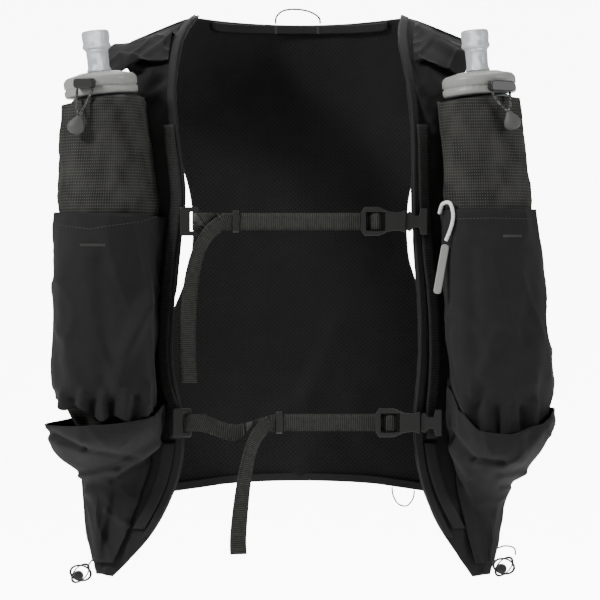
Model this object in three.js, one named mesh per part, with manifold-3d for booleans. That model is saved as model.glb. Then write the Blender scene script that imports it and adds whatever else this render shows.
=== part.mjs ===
// A running hydration vest, worn shape, front towards -Y, +Z up, millimetres.
// The origin lies midway between the two shoulder straps, at the height of the shoulders that carry it.
import * as THREE from 'three';
import { mergeVertices } from 'three/addons/utils/BufferGeometryUtils.js';
import Module from 'manifold-3d';

// Driving dimensions of the garment
const frontLength = 405;
const backLength = 352;
const chestHalfWidth = 152;
const chestDepth = 95;
const shoulderHalfWidth = 122;
const backDepth = 105;
const shoulderDrop = 22;
const crestHeight = 4;

// Cloth and foam thicknesses
const meshThickness = 3;
const shellThickness = 1.6;
const stretchThickness = 1;
const bindingThickness = 1.8;
const gap = 0.35;
const layerGap = 0.6;
const bandGap = { collar: 1.7, hem: 0.45 };

// Soft flasks
const flaskLength = 226;
const flaskHalfWidth = 30;
const flaskHalfDepth = 28;
const flaskClearance = 1.4;
const capDiameter = 52;
const capHeight = 17;
const valveDiameter = 20;
const valveHeight = 29;

// Webbing and hardware
const webbingWidth = 12;
const webbingThickness = 1.3;
const daisyWidth = 9.5;
const bindingWidth = 6;
const hemWidth = 6.5;
const buckleThickness = 5;
const buckleLength = 31;
const buckleWidth = 20;
const hookLength = 15;
const sliderLength = 13;
const sliderWidth = 20;
const sliderThickness = 3.4;
const keeperWidth = 4.2;
const keeperWall = 1.2;
const upperStrapDrop = 150;
const lowerStrapDrop = 291;

// Cords
const hangCordDiameter = 1.4;
const hemCordDiameter = 1.2;
const drawcordDiameter = 1.9;
const pullCordDiameter = 2.6;
const keeperCordDiameter = 1.2;

// Facets
const cordSides = 8;
const roundSides = 18;
const flaskSides = 14;
const surfaceStep = 1e-3;
const weldDistance = 1e-4;
const left = -1;
const right = 1;

const wasm = await Module();
wasm.setup();

// A table holds one object for each row, with the named columns
function table(columns, rows) {
  return rows.map((row) => Object.fromEntries(columns.map((name, i) => [name, row[i]])));
}

// Smooth value of one column at a share of the way down the table
function track(rows, column, share) {
  const last = rows.length - 1;
  let i = 0;
  while (i < last - 1 && share > rows[i + 1].at) i += 1;
  const slope = (k) => {
    const a = rows[Math.max(k - 1, 0)];
    const b = rows[Math.min(k + 1, last)];
    return (b[column] - a[column]) / (b.at - a.at);
  };
  const span = rows[i + 1].at - rows[i].at;
  const t = THREE.MathUtils.clamp((share - rows[i].at) / span, 0, 1);
  const h = [2 * t ** 3 - 3 * t ** 2 + 1, t ** 3 - 2 * t ** 2 + t, 3 * t ** 2 - 2 * t ** 3, t ** 3 - t ** 2];
  return h[0] * rows[i][column] + h[1] * span * slope(i) + h[2] * rows[i + 1][column] + h[3] * span * slope(i + 1);
}

// Height of the folds and gathers at one place on a cloth: each is a ridge along a line from (u0, v0) to (u1, v1)
const foldColumns = ['u0', 'v0', 'u1', 'v1', 'width', 'height'];
function foldHeight(folds, u, v) {
  let height = 0;
  for (const f of folds) {
    const du = f.u1 - f.u0;
    const dv = f.v1 - f.v0;
    const along = THREE.MathUtils.clamp(((u - f.u0) * du + (v - f.v0) * dv) / (du * du + dv * dv), 0, 1);
    const away = Math.hypot(u - f.u0 - along * du, v - f.v0 - along * dv) / f.width;
    height += f.height * Math.exp(-away * away);
  }
  return height;
}

// Unit normal of a surface, turned to the side given
function normalAt(surface, u, v, side) {
  const u0 = Math.max(u - surfaceStep, 0);
  const u1 = Math.min(u + surfaceStep, 1);
  const v0 = Math.max(v - surfaceStep, 0);
  const v1 = Math.min(v + surfaceStep, 1);
  const across = surface(u1, v).sub(surface(u0, v));
  const along = surface(u, v1).sub(surface(u, v0));
  return across.cross(along).normalize().multiplyScalar(side);
}

// A surface lifted off another along its normal
function lifted(surface, side, lift) {
  return (u, v) => surface(u, v).addScaledVector(normalAt(surface, u, v, side), lift(u, v));
}

// The faceted form of a surface, so that a layer laid on it follows the same facets
function faceted(surface, across, along) {
  return (u, v) => {
    const i = Math.min(Math.floor(u * across + surfaceStep), across - 1);
    const j = Math.min(Math.floor(v * along + surfaceStep), along - 1);
    const upper = surface(i / across, j / along).lerp(surface((i + 1) / across, j / along), u * across - i);
    const lower = surface(i / across, (j + 1) / along).lerp(surface((i + 1) / across, (j + 1) / along), u * across - i);
    return upper.lerp(lower, v * along - j);
  };
}

// Closed geometry from rows of points that run round or across, with triangles facing out
function solid(points, triangles) {
  const geometry = new THREE.BufferGeometry();
  const volume = triangles.reduce((sum, [a, b, c]) => (
    sum + points[a].dot(points[b].clone().cross(points[c]))), 0);
  const faces = volume < 0 ? triangles.map(([a, b, c]) => [a, c, b]) : triangles;
  geometry.setAttribute('position', new THREE.Float32BufferAttribute(points.flatMap((p) => p.toArray()), 3));
  geometry.setIndex(faces.flat());
  return geometry;
}

// A cloth wall: its inner face stands off the surface by the lift, on the side given, and its outer face one thickness more
function clothWall(surface, [across, along], thickness, side, lift = 0) {
  const points = [];
  const triangles = [];
  const row = across + 1;
  const layer = row * (along + 1);
  for (const offset of [lift, lift + thickness]) {
    for (let j = 0; j <= along; j += 1) {
      for (let i = 0; i <= across; i += 1) {
        const u = i / across;
        const v = j / along;
        points.push(surface(u, v).addScaledVector(normalAt(surface, u, v, side), offset));
      }
    }
  }
  const quad = (a, b, c, d) => triangles.push([a, b, c], [a, c, d]);
  for (let j = 0; j < along; j += 1) {
    for (let i = 0; i < across; i += 1) {
      const a = j * row + i;
      quad(a, a + 1, a + row + 1, a + row);
      quad(layer + a, layer + a + row, layer + a + row + 1, layer + a + 1);
    }
  }
  const rim = [];
  for (let i = 0; i < across; i += 1) rim.push(i);
  for (let j = 0; j < along; j += 1) rim.push(j * row + across);
  for (let i = across; i > 0; i -= 1) rim.push(along * row + i);
  for (let j = along; j > 0; j -= 1) rim.push(j * row);
  rim.forEach((a, k) => {
    const b = rim[(k + 1) % rim.length];
    quad(b, a, layer + a, layer + b);
  });
  return solid(points, triangles);
}

// A solid lofted through closed rings, closed by flat fans at both ends
function loft(rings) {
  const points = rings.flat();
  const sides = rings[0].length;
  const triangles = [];
  for (let j = 0; j < rings.length - 1; j += 1) {
    for (let i = 0; i < sides; i += 1) {
      const a = j * sides + i;
      const b = j * sides + ((i + 1) % sides);
      triangles.push([a, b, b + sides], [a, b + sides, a + sides]);
    }
  }
  for (let i = 1; i < sides - 1; i += 1) {
    const end = (rings.length - 1) * sides;
    triangles.push([0, i + 1, i], [end, end + i, end + i + 1]);
  }
  return solid(points, triangles);
}

// A round cord along hand-chosen points
function cordTube(points, diameter, steps) {
  const section = new THREE.Shape();
  for (let i = 0; i < cordSides; i += 1) {
    const angle = (2 * Math.PI * i) / cordSides;
    const place = [Math.cos(angle) * diameter / 2, Math.sin(angle) * diameter / 2];
    if (i === 0) section.moveTo(...place);
    else section.lineTo(...place);
  }
  const path = new THREE.CatmullRomCurve3(points.map((p) => new THREE.Vector3(...p)));
  return new THREE.ExtrudeGeometry(section, { steps, extrudePath: path, bevelEnabled: false, curveSegments: 1 });
}

// Closed mesh to a solid for joins and cuts, and back
function toSolid(geometry) {
  const bare = geometry.clone();
  bare.deleteAttribute('normal');
  bare.deleteAttribute('uv');
  const merged = mergeVertices(bare, weldDistance);
  return new wasm.Manifold(new wasm.Mesh({
    numProp: 3,
    vertProperties: new Float32Array(merged.attributes.position.array),
    triVerts: new Uint32Array(merged.index.array),
  }));
}
function fromSolid(body) {
  const mesh = body.getMesh();
  const geometry = new THREE.BufferGeometry();
  geometry.setAttribute('position', new THREE.BufferAttribute(new Float32Array(mesh.vertProperties), 3));
  geometry.setIndex(new THREE.BufferAttribute(new Uint32Array(mesh.triVerts), 1));
  return geometry;
}
function joined(geometries) {
  return fromSolid(geometries.map(toSolid).reduce((a, b) => a.add(b)));
}

// Back panel sections, top to bottom: middle line, a line behind the shoulder blade, and the arm edge.
// Widths are shares of the shoulder half width, depths of the back depth, drops of the back length.
const backRows = table(['at', 'midDepth', 'midDrop', 'bladeWidth', 'bladeDepth', 'bladeDrop',
  'edgeWidth', 'edgeDepth', 'edgeDrop'], [
  [0.00, 0.925, 0.000, 0.607, 0.190, 0.000, 1.000, 0.000, 0.062],
  [0.07, 0.952, 0.064, 0.585, 0.600, 0.055, 0.985, 0.330, 0.105],
  [0.18, 0.981, 0.180, 0.500, 0.880, 0.165, 0.865, 0.720, 0.180],
  [0.28, 0.995, 0.285, 0.440, 0.950, 0.280, 0.735, 0.830, 0.290],
  [0.38, 1.000, 0.380, 0.400, 0.965, 0.380, 0.660, 0.870, 0.380],
  [0.50, 1.000, 0.500, 0.390, 0.965, 0.500, 0.665, 0.870, 0.500],
  [0.62, 1.000, 0.620, 0.440, 0.950, 0.620, 0.790, 0.830, 0.625],
  [0.72, 1.000, 0.720, 0.520, 0.935, 0.722, 0.945, 0.740, 0.728],
  [0.86, 0.990, 0.860, 0.560, 0.915, 0.865, 0.985, 0.700, 0.875],
  [1.00, 0.975, 0.985, 0.540, 0.900, 0.995, 0.945, 0.700, 1.012],
]);
const bladeShare = 0.6;
const backFolds = table(foldColumns, [
  [0.30, 0.20, 0.42, 0.55, 0.06, 1.6],
  [0.72, 0.50, 0.40, 0.86, 0.07, 2.2],
  [0.62, 0.16, 0.68, 0.42, 0.05, 1.2],
]);

// Inner face of the back panel: u runs from the left arm edge to the right one, v from the top down
function backSurface(u, v) {
  const side = u < 0.5 ? left : right;
  const half = Math.abs(2 * u - 1);
  const value = (column) => track(backRows, column, v);
  const point = (width, depth, drop) => new THREE.Vector3(
    width * shoulderHalfWidth, depth * backDepth, crestHeight - drop * backLength);
  const middle = point(0, value('midDepth'), value('midDrop'));
  const blade = point(value('bladeWidth'), value('bladeDepth'), value('bladeDrop'));
  const edge = point(value('edgeWidth'), value('edgeDepth'), value('edgeDrop'));
  const place = new THREE.Vector3();
  if (half < bladeShare) {
    const turn = (half / bladeShare) * (Math.PI / 2) * 0.999;
    place.set(blade.x * Math.sin(turn), blade.y + (middle.y - blade.y) * Math.cos(turn),
      blade.z + (middle.z - blade.z) * Math.cos(turn));
    const straight = middle.clone().lerp(blade, half / bladeShare);
    place.lerp(straight, THREE.MathUtils.smoothstep(v, 0.0, 0.5) * 0.3);
  } else {
    place.copy(blade).lerp(edge, (half - bladeShare) / (1 - bladeShare));
  }
  place.x *= side;
  place.y += foldHeight(backFolds, u, v);
  return place;
}

// Front panel sections for each side, from the shoulder seam down to the tip.
// Widths are shares of the chest half width, depths of the chest depth, drop of the shoulder drop.
const frontColumns = ['at', 'inner', 'outer', 'innerDepth', 'outerDepth', 'slope'];
const frontRows = {
  [left]: table(frontColumns, [
    [0.000, 0.487, 0.803, -0.211, 0.000, 1.00],
    [0.042, 0.548, 0.820, 0.330, 0.280, 0.85],
    [0.100, 0.567, 0.800, 0.640, 0.420, 0.50],
    [0.160, 0.577, 0.920, 0.800, 0.430, 0.20],
    [0.230, 0.560, 0.940, 0.940, 0.460, 0.05],
    [0.340, 0.523, 1.000, 1.010, 0.450, 0.00],
    [0.430, 0.552, 1.000, 1.020, 0.450, 0.00],
    [0.540, 0.576, 1.000, 1.020, 0.440, 0.00],
    [0.640, 0.582, 1.010, 1.010, 0.430, 0.00],
    [0.720, 0.530, 1.020, 1.000, 0.430, 0.00],
    [0.820, 0.552, 1.030, 0.940, 0.430, 0.00],
    [0.900, 0.645, 1.010, 0.860, 0.440, 0.00],
    [0.955, 0.745, 0.980, 0.780, 0.460, 0.00],
    [1.000, 0.880, 0.950, 0.640, 0.520, 0.00],
  ]),
  [right]: table(frontColumns, [
    [0.000, 0.487, 0.803, -0.211, 0.000, 1.00],
    [0.042, 0.455, 0.800, 0.330, 0.280, 0.85],
    [0.100, 0.478, 0.730, 0.640, 0.440, 0.50],
    [0.160, 0.502, 0.840, 0.800, 0.460, 0.20],
    [0.230, 0.514, 0.880, 0.940, 0.480, 0.05],
    [0.340, 0.512, 0.940, 1.010, 0.470, 0.00],
    [0.430, 0.523, 0.980, 1.020, 0.450, 0.00],
    [0.540, 0.543, 1.020, 1.020, 0.430, 0.00],
    [0.640, 0.540, 1.040, 1.010, 0.420, 0.00],
    [0.720, 0.520, 1.020, 1.000, 0.430, 0.00],
    [0.820, 0.545, 0.970, 0.940, 0.450, 0.00],
    [0.900, 0.625, 0.945, 0.860, 0.470, 0.00],
    [0.955, 0.715, 0.920, 0.780, 0.500, 0.00],
    [1.000, 0.810, 0.885, 0.660, 0.560, 0.00],
  ]),
};
const frontCrown = 5;

// Inner face of one front panel: u runs from the neck edge to the arm edge, v from the seam to the tip
function frontSurface(side) {
  const rows = frontRows[side];
  return (u, v) => {
    const value = (column) => track(rows, column, v);
    const rise = Math.sin(Math.PI * u) * frontCrown * THREE.MathUtils.smoothstep(v, 0, 0.3);
    const seam = gap * (1 - THREE.MathUtils.smoothstep(v, 0, 0.04));
    return new THREE.Vector3(
      side * THREE.MathUtils.lerp(value('inner'), value('outer'), u) * chestHalfWidth,
      -THREE.MathUtils.lerp(value('innerDepth'), value('outerDepth'), u) * chestDepth - rise - seam,
      crestHeight - v * frontLength - value('slope') * u * shoulderDrop,
    );
  };
}

const frontInside = { [left]: frontSurface(left), [right]: frontSurface(right) };
const frontFace = {
  [left]: lifted(frontInside[left], 1, () => shellThickness),
  [right]: lifted(frontInside[right], -1, () => shellThickness),
};
const frontSide = { [left]: 1, [right]: -1 };

// Share down the front panel at a drop below the shoulder height
const shareAtDrop = (drop) => (drop + crestHeight) / frontLength;

// Lines of each front panel that carry the flask and that the sleeve and the pocket are sewn to
const baseColumns = ['at', 'inner', 'outer'];
const flaskLine = { [left]: { top: 0.54, bottom: 0.44 }, [right]: { top: 0.50, bottom: 0.52 } };
const sleeveBase = {
  [left]: table(baseColumns, [[0.14, 0.40, 0.98], [0.22, 0.38, 0.95], [0.33, 0.25, 0.92], [0.76, 0.27, 0.88]]),
  [right]: table(baseColumns, [[0.14, 0.38, 0.98], [0.35, 0.42, 0.95], [0.76, 0.36, 0.93]]),
};
const pocketBase = {
  [left]: table(baseColumns, [[0.30, 0.19, 0.97], [0.55, 0.20, 0.97], [0.77, 0.235, 0.95]]),
  [right]: table(baseColumns, [[0.30, 0.36, 0.98], [0.55, 0.34, 0.98], [0.77, 0.33, 0.96]]),
};
const flaskTopDrop = 61;
const flaskTilt = { [left]: THREE.MathUtils.degToRad(6), [right]: THREE.MathUtils.degToRad(5) };

// Flask sections down its length, as shares of its greatest half width and half depth
const flaskRows = table(['at', 'width', 'depth', 'lean'], [
  [0.00, 0.66, 0.70, 1.0],
  [0.02, 0.82, 0.84, 0.9],
  [0.10, 0.92, 0.93, 0.5],
  [0.28, 0.96, 0.97, 0.1],
  [0.55, 1.02, 1.00, 0.0],
  [0.80, 1.12, 1.00, 0.0],
  [0.92, 1.08, 0.90, 0.0],
  [0.975, 0.86, 0.62, 0.0],
  [1.00, 0.52, 0.30, 0.0],
]);

// The straight flask axis of one side, kept clear of the panel behind it
function flaskSeat(side) {
  const face = frontFace[side];
  const top = shareAtDrop(flaskTopDrop);
  const bottom = shareAtDrop(flaskTopDrop + flaskLength);
  const halfShare = (top + bottom) / 2;
  const across = face(0.9, halfShare).sub(face(0.1, halfShare)).setZ(0).normalize();
  const out = new THREE.Vector3(across.y, -across.x, 0);
  if (out.y > 0) out.negate();
  const start = face(flaskLine[side].top, top);
  const end = face(flaskLine[side].bottom, bottom);
  let reach = 0;
  for (let k = 0; k <= 12; k += 1) {
    const share = k / 12;
    const v = THREE.MathUtils.lerp(top, bottom, share);
    const line = start.clone().lerp(end, share);
    for (const u of [0.35, 0.5, 0.65]) {
      const room = face(u, v).sub(line).dot(out) + flaskHalfDepth * track(flaskRows, 'depth', share);
      reach = Math.max(reach, room);
    }
  }
  const lift = reach + flaskClearance;
  start.addScaledVector(out, lift);
  end.addScaledVector(out, lift);
  start.z = -flaskTopDrop;
  end.z = -flaskTopDrop - flaskLength;
  return { start, end, across, out, top, bottom };
}
const seats = { [left]: flaskSeat(left), [right]: flaskSeat(right) };

function flaskBody(side) {
  const seat = seats[side];
  const rings = flaskRows.map((row) => {
    const centre = seat.start.clone().lerp(seat.end, row.at);
    const ring = [];
    for (let i = 0; i < flaskSides; i += 1) {
      const angle = (2 * Math.PI * i) / flaskSides;
      const offset = seat.across.clone().multiplyScalar(Math.cos(angle) * flaskHalfWidth * row.width)
        .addScaledVector(seat.out, Math.sin(angle) * flaskHalfDepth * row.depth);
      offset.z += offset.x * Math.tan(flaskTilt[side]) * row.lean;
      ring.push(centre.clone().add(offset));
    }
    return ring;
  });
  return loft(rings);
}

// Cloth drawn taut from one sewn line of a panel, round a rounded filling, to the other sewn line.
// shape gives, at a share down the panel, the filling's centre, half width and half depth, and the sewn lines.
const straightShare = 0.2;
const panelClearance = layerGap + stretchThickness + 0.35;
function tautCloth(side, shape) {
  const { across, out } = seats[side];
  const face = lifted(frontFace[side], frontSide[side], () => panelClearance);
  return (w, v) => {
    const now = shape(w, v);
    const free = Math.min(1, w / straightShare, (1 - w) / straightShare);
    const toFlat = (p) => {
      const d = p.clone().sub(now.centre);
      return new THREE.Vector2(d.dot(across) / now.halfWidth, d.dot(out) / now.halfDepth);
    };
    const from = face(now.inner, now.share);
    const to = face(now.outer, now.share);
    const a = toFlat(from);
    const b = toFlat(to);
    const turnA = Math.acos(1 / Math.max(a.length(), 1.0001));
    const turnB = Math.acos(1 / Math.max(b.length(), 1.0001));
    let angleA = Math.atan2(a.y, a.x);
    if (angleA < 0) angleA += 2 * Math.PI;
    const touchA = angleA - turnA;
    const touchB = Math.atan2(b.y, b.x) + turnB;
    const onRound = (angle) => now.centre.clone()
      .addScaledVector(across, Math.cos(angle) * now.halfWidth)
      .addScaledVector(out, Math.sin(angle) * now.halfDepth);
    let place;
    if (w < straightShare) place = from.clone().lerp(onRound(touchA), w / straightShare);
    else if (w > 1 - straightShare) place = to.clone().lerp(onRound(touchB), (1 - w) / straightShare);
    else {
      const t = (w - straightShare) / (1 - 2 * straightShare);
      place = onRound(THREE.MathUtils.lerp(touchA, touchB, t));
    }
    const reach = to.clone().sub(from).dot(across);
    const aside = THREE.MathUtils.clamp(place.clone().sub(from).dot(across) / reach, 0, 1);
    const under = face(THREE.MathUtils.lerp(now.inner, now.outer, aside), now.share);
    place.addScaledVector(out, Math.max(0, under.sub(place).dot(out)));
    place.z = THREE.MathUtils.lerp(from.z, to.z, aside) + (place.x - now.centre.x) * now.tilt * free;
    return place.addScaledVector(out, now.fold * free);
  };
}

// Flask sleeve: follows the flask with a small clearance, open at the top, drawn in under its bottom
const sleeveTopDrop = 64;
const sleeveEndDrop = 293;
const easeDown = (v) => 1 - (1 - v) ** 1.35;
function flaskFilling(side, share, spare) {
  const seat = seats[side];
  const along = (share - seat.top) / (seat.bottom - seat.top);
  const lag = spare * 8 / flaskLength;
  const held = THREE.MathUtils.clamp(along - lag, 0.06, 1);
  const here = THREE.MathUtils.clamp(along, 0.06, 1);
  const fullest = (column) => Math.max(track(flaskRows, column, held), track(flaskRows, column, here));
  const pinch = 1 - THREE.MathUtils.smoothstep(along, 1 + lag, 1.1 + lag) * 0.6;
  return {
    centre: seat.start.clone().lerp(seat.end, along),
    halfWidth: (fullest('width') * flaskHalfWidth + spare) * pinch,
    halfDepth: (fullest('depth') * flaskHalfDepth + spare) * pinch,
  };
}
function sleeveShape(side) {
  return (w, v) => {
    const share = THREE.MathUtils.lerp(shareAtDrop(sleeveTopDrop), shareAtDrop(sleeveEndDrop), easeDown(v));
    return {
      ...flaskFilling(side, share, flaskClearance),
      share,
      inner: track(sleeveBase[side], 'inner', share),
      outer: track(sleeveBase[side], 'outer', share),
      tilt: Math.tan(flaskTilt[side]) * (1 - v),
      fold: 0,
    };
  };
}

// Stretch pocket over the sleeve, with its slanted top edge, its dents and the gathers at its bottom
const pocketTopDrop = { [left]: 147, [right]: 142 };
const pocketEndDrop = { [left]: 292, [right]: 299 };
const pocketTopRise = { [left]: 5, [right]: 0 };
const gatherCount = { [left]: 3, [right]: 4 };
const gatherHeight = { [left]: 2.4, [right]: 1.1 };
const pocketFolds = {
  [left]: table(foldColumns, [[0.10, 0.15, 0.30, 0.85, 0.07, 2.6], [0.62, 0.75, 0.75, 0.98, 0.05, 2.0]]),
  [right]: table(foldColumns, [[0.08, 0.30, 0.22, 0.80, 0.06, 2.2], [0.80, 0.55, 0.62, 0.95, 0.06, 1.8]]),
};
const pocketSpare = flaskClearance + stretchThickness + 1.8;
function pocketShape(side) {
  return (w, v) => {
    const top = pocketTopDrop[side] - pocketTopRise[side] * w;
    const share = THREE.MathUtils.lerp(shareAtDrop(top), shareAtDrop(pocketEndDrop[side]), easeDown(v));
    const gathers = (1 - Math.cos(2 * Math.PI * gatherCount[side] * w)) / 2;
    return {
      ...flaskFilling(side, share, pocketSpare),
      share,
      inner: track(pocketBase[side], 'inner', share),
      outer: track(pocketBase[side], 'outer', share),
      tilt: 0,
      fold: foldHeight(pocketFolds[side], w, v)
        + gatherHeight[side] * gathers * THREE.MathUtils.smoothstep(v, 0.75, 1),
    };
  };
}

// Lower pouch: its open mouth stands round the bottom of the stretch pocket, and it narrows to the tip.
// fill is the share of its own greatest half width and half depth that it is stuffed out to.
const pouchHalfWidth = { [left]: 42, [right]: 40 };
const pouchHalfDepth = { [left]: 38, [right]: 36 };
const pouchMouth = {
  [left]: table(['at', 'drop'], [[0, 276], [0.4, 290], [0.75, 292], [1, 288]]),
  [right]: table(['at', 'drop'], [[0, 290], [0.3, 309], [0.6, 312], [1, 302]]),
};
const pouchEndDrop = 392;
const pouchRows = {
  [left]: table(['at', 'fillWidth', 'fillDepth', 'inner', 'outer', 'shift'], [
    [0.00, 1.00, 1.00, 0.17, 0.97, 1],
    [0.12, 0.98, 0.98, 0.19, 0.97, 1],
    [0.24, 0.84, 0.80, 0.25, 0.97, 1],
    [0.38, 0.54, 0.42, 0.30, 0.97, 0],
    [0.50, 0.42, 0.26, 0.33, 0.97, 0],
    [0.75, 0.30, 0.15, 0.36, 0.96, 0],
    [1.00, 0.16, 0.06, 0.36, 0.90, 0],
  ]),
  [right]: table(['at', 'fillWidth', 'fillDepth', 'inner', 'outer', 'shift'], [
    [0.00, 0.95, 0.94, 0.31, 0.96, 0],
    [0.12, 0.92, 0.88, 0.30, 0.97, 0],
    [0.24, 0.80, 0.72, 0.33, 0.97, 0],
    [0.38, 0.56, 0.42, 0.37, 0.97, 0],
    [0.50, 0.44, 0.26, 0.39, 0.97, 0],
    [0.75, 0.30, 0.15, 0.38, 0.96, 0],
    [1.00, 0.18, 0.06, 0.36, 0.90, 0],
  ]),
};
const pouchFolds = {
  [left]: table(foldColumns, [[0.98, 0.18, 0.45, 0.30, 0.05, 3.0], [0.95, 0.42, 0.20, 0.26, 0.06, 2.6],
    [0.70, 0.62, 0.35, 0.80, 0.05, 2.0]]),
  [right]: table(foldColumns, [[0.95, 0.20, 0.25, 0.10, 0.05, 2.8], [0.92, 0.44, 0.25, 0.22, 0.06, 2.6],
    [0.60, 0.50, 0.45, 0.90, 0.06, 2.0]]),
};
function pouchShape(side) {
  return (w, v) => {
    const mouth = track(pouchMouth[side], 'drop', w);
    const share = THREE.MathUtils.lerp(shareAtDrop(mouth), shareAtDrop(pouchEndDrop), v);
    const value = (column) => track(pouchRows[side], column, v);
    const { across, out, end } = seats[side];
    const face = frontFace[side];
    const middle = face(value('inner'), share).lerp(face(value('outer'), share), 0.5);
    const follow = 1 - THREE.MathUtils.smoothstep(v, 0.05, 0.4);
    const centre = middle.clone().lerp(new THREE.Vector3(end.x, end.y, middle.z), follow);
    centre.addScaledVector(across, value('shift'));
    return {
      centre: centre.addScaledVector(out, layerGap),
      halfWidth: pouchHalfWidth[side] * value('fillWidth'),
      halfDepth: pouchHalfDepth[side] * value('fillDepth'),
      share,
      inner: value('inner'),
      outer: value('outer'),
      tilt: 0,
      fold: foldHeight(pouchFolds[side], w, v),
    };
  };
}

// Side panel under one arm: from the back panel's lower edge round to the front panel's outer edge
const sidePanelBack = { top: 0.72, bottom: 0.985 };
const sidePanelFront = { top: 0.665, bottom: 0.9 };
const sidePanelBow = { back: [34, -24], front: [5, 46] };
function sidePanel(side) {
  const backEdge = side === left ? 0 : 1;
  const backIn = side === left ? surfaceStep * 20 : 1 - surfaceStep * 20;
  return (s, t) => {
    const back = THREE.MathUtils.lerp(sidePanelBack.top, sidePanelBack.bottom, t);
    const front = THREE.MathUtils.lerp(sidePanelFront.top, sidePanelFront.bottom, t);
    const start = backSurface(backEdge, back);
    const end = frontInside[side](1, front);
    const startWay = start.clone().sub(backSurface(backIn, back)).normalize();
    const endWay = end.clone().sub(frontInside[side](0.98, front)).normalize();
    start.addScaledVector(startWay, gap * 2.5);
    end.addScaledVector(endWay, gap * 1.5);
    const [backX, backY] = sidePanelBow.back;
    const [frontX, frontY] = sidePanelBow.front;
    const curve = new THREE.CubicBezierCurve3(start,
      start.clone().add(new THREE.Vector3(side * backX, backY, 0)),
      end.clone().add(new THREE.Vector3(side * frontX, frontY, 0)), end);
    return curve.getPoint(s);
  };
}

// A strip of one width along a front panel: its near edge lies one inset from the neck edge
function edgeStrip(side, inset, width, lift, from, to) {
  const face = frontFace[side];
  const facing = frontSide[side];
  return (u, v) => {
    const share = THREE.MathUtils.lerp(from, to, v);
    const span = face(0, share).distanceTo(face(1, share));
    const place = (THREE.MathUtils.lerp(inset[0], inset[1], v) + u * width) / span;
    return face(place, share).addScaledVector(normalAt(face, place, share, facing), lift(v));
  };
}
const bindingInset = [0.2, 0.2];
const bindingEnds = { top: 0.006, bottom: 0.93 };
const daisyEnds = { top: 0.215, bottom: 0.755 };
const daisyInset = { [left]: [0.8, 0.8], [right]: [2.5, 9] };
const daisyLoops = 9;
const daisyLoopHeight = 1.1;
const daisyLift = layerGap + bindingThickness + layerGap;
const daisyShape = (v) => daisyLift + daisyLoopHeight * Math.abs(Math.sin(Math.PI * daisyLoops * v));

// Shoulder pouch: a bulged wall on the strap, open along its lower edge, with an overhanging outer end
const shoulderPouch = {
  [left]: { overhang: 17, rise: 6.5, inner: 0.2, top: 0.014, bottom: 0.094 },
  [right]: { overhang: 3, rise: 6, inner: 0.22, top: 0.014, bottom: 0.1 },
};
const shoulderFolds = table(foldColumns, [[0.35, 0.05, 0.55, 0.75, 0.08, 1.2], [0.62, 0.0, 0.85, 0.55, 0.07, 1.6],
  [0.1, 0.2, 0.3, 0.9, 0.07, 0.9]]);
function shoulderPouchSurface(side) {
  const face = frontFace[side];
  const size = shoulderPouch[side];
  return (w, t) => {
    const u = THREE.MathUtils.lerp(size.inner, 0.99, w);
    const v = THREE.MathUtils.lerp(size.top, size.bottom, t);
    const swell = Math.sin(Math.PI * THREE.MathUtils.lerp(0, 0.85, w)) * Math.sin(Math.PI * 0.5 * t ** 0.7);
    const lift = layerGap + size.rise * swell + foldHeight(shoulderFolds, w, t) * t;
    const place = face(u, v).addScaledVector(normalAt(face, u, v, frontSide[side]), lift);
    const over = THREE.MathUtils.smoothstep(w, 0.55, 1) * size.overhang;
    return place.add(new THREE.Vector3(side * over, 0, -over * 0.2));
  };
}

// Bands along the inside of the back panel: round the neck and along the hem
const backAcross = 18;
const backAlong = 12;
const collarColumns = 5;
const hemColumns = 1;
const bandRows = 2;
function backBand(columns, near, far, lift) {
  const panel = faceted(backSurface, backAcross, backAlong);
  const outerColumn = backAcross - columns;
  const strip = (u, v) => {
    const across = THREE.MathUtils.lerp(columns, outerColumn, u) / backAcross;
    return panel(across, THREE.MathUtils.lerp(near, far, v));
  };
  return clothWall(strip, [outerColumn - columns, bandRows], bindingThickness, 1, lift);
}
const hemShare = hemWidth / backLength;

// Screw cap and bite valve turned round their own axis, radius and height as shares of their sizes
function turned(columns, radius, height, sides) {
  const points = columns.map(([r, h]) => new THREE.Vector2(r * radius, h * height));
  const geometry = new THREE.LatheGeometry(points, sides);
  geometry.rotateX(Math.PI / 2);
  return geometry;
}
const capProfile = [[0, 0], [0.94, 0], [1, 0.1], [1, 0.66], [0.93, 0.82], [0.6, 0.97], [0, 1]];
const valveProfile = [[0, 0], [0.86, 0], [0.78, 0.1], [0.8, 0.52], [1, 0.58], [0.95, 0.7], [0.98, 0.95], [0.8, 1],
  [0, 0.98]];
const pullProfile = [[0, 0], [0.6, 0.05], [1, 0.3], [0.95, 0.5], [0.5, 0.82], [0.34, 0.98], [0, 1]];

// Rounded plate outline, centred, with windows cut through it
const plateCorner = { keeper: 0.8, slider: 1.6, puller: 2.2, toggle: 2.4 };
function plate(width, height, corner, windows, thickness) {
  const outline = (target, cx, cy, w, h, r) => {
    const x0 = cx - w / 2;
    const x1 = cx + w / 2;
    const y0 = cy - h / 2;
    const y1 = cy + h / 2;
    target.moveTo(x0 + r, y0);
    target.lineTo(x1 - r, y0);
    target.quadraticCurveTo(x1, y0, x1, y0 + r);
    target.lineTo(x1, y1 - r);
    target.quadraticCurveTo(x1, y1, x1 - r, y1);
    target.lineTo(x0 + r, y1);
    target.quadraticCurveTo(x0, y1, x0, y1 - r);
    target.lineTo(x0, y0 + r);
    target.quadraticCurveTo(x0, y0, x0 + r, y0);
    return target;
  };
  const shape = outline(new THREE.Shape(), 0, 0, width, height, corner);
  for (const [cx, cy, w, h] of windows) shape.holes.push(outline(new THREE.Path(), cx, cy, w, h, corner * 0.3));
  return new THREE.ExtrudeGeometry(shape, { depth: thickness, bevelEnabled: false, curveSegments: 2 });
}

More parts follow.
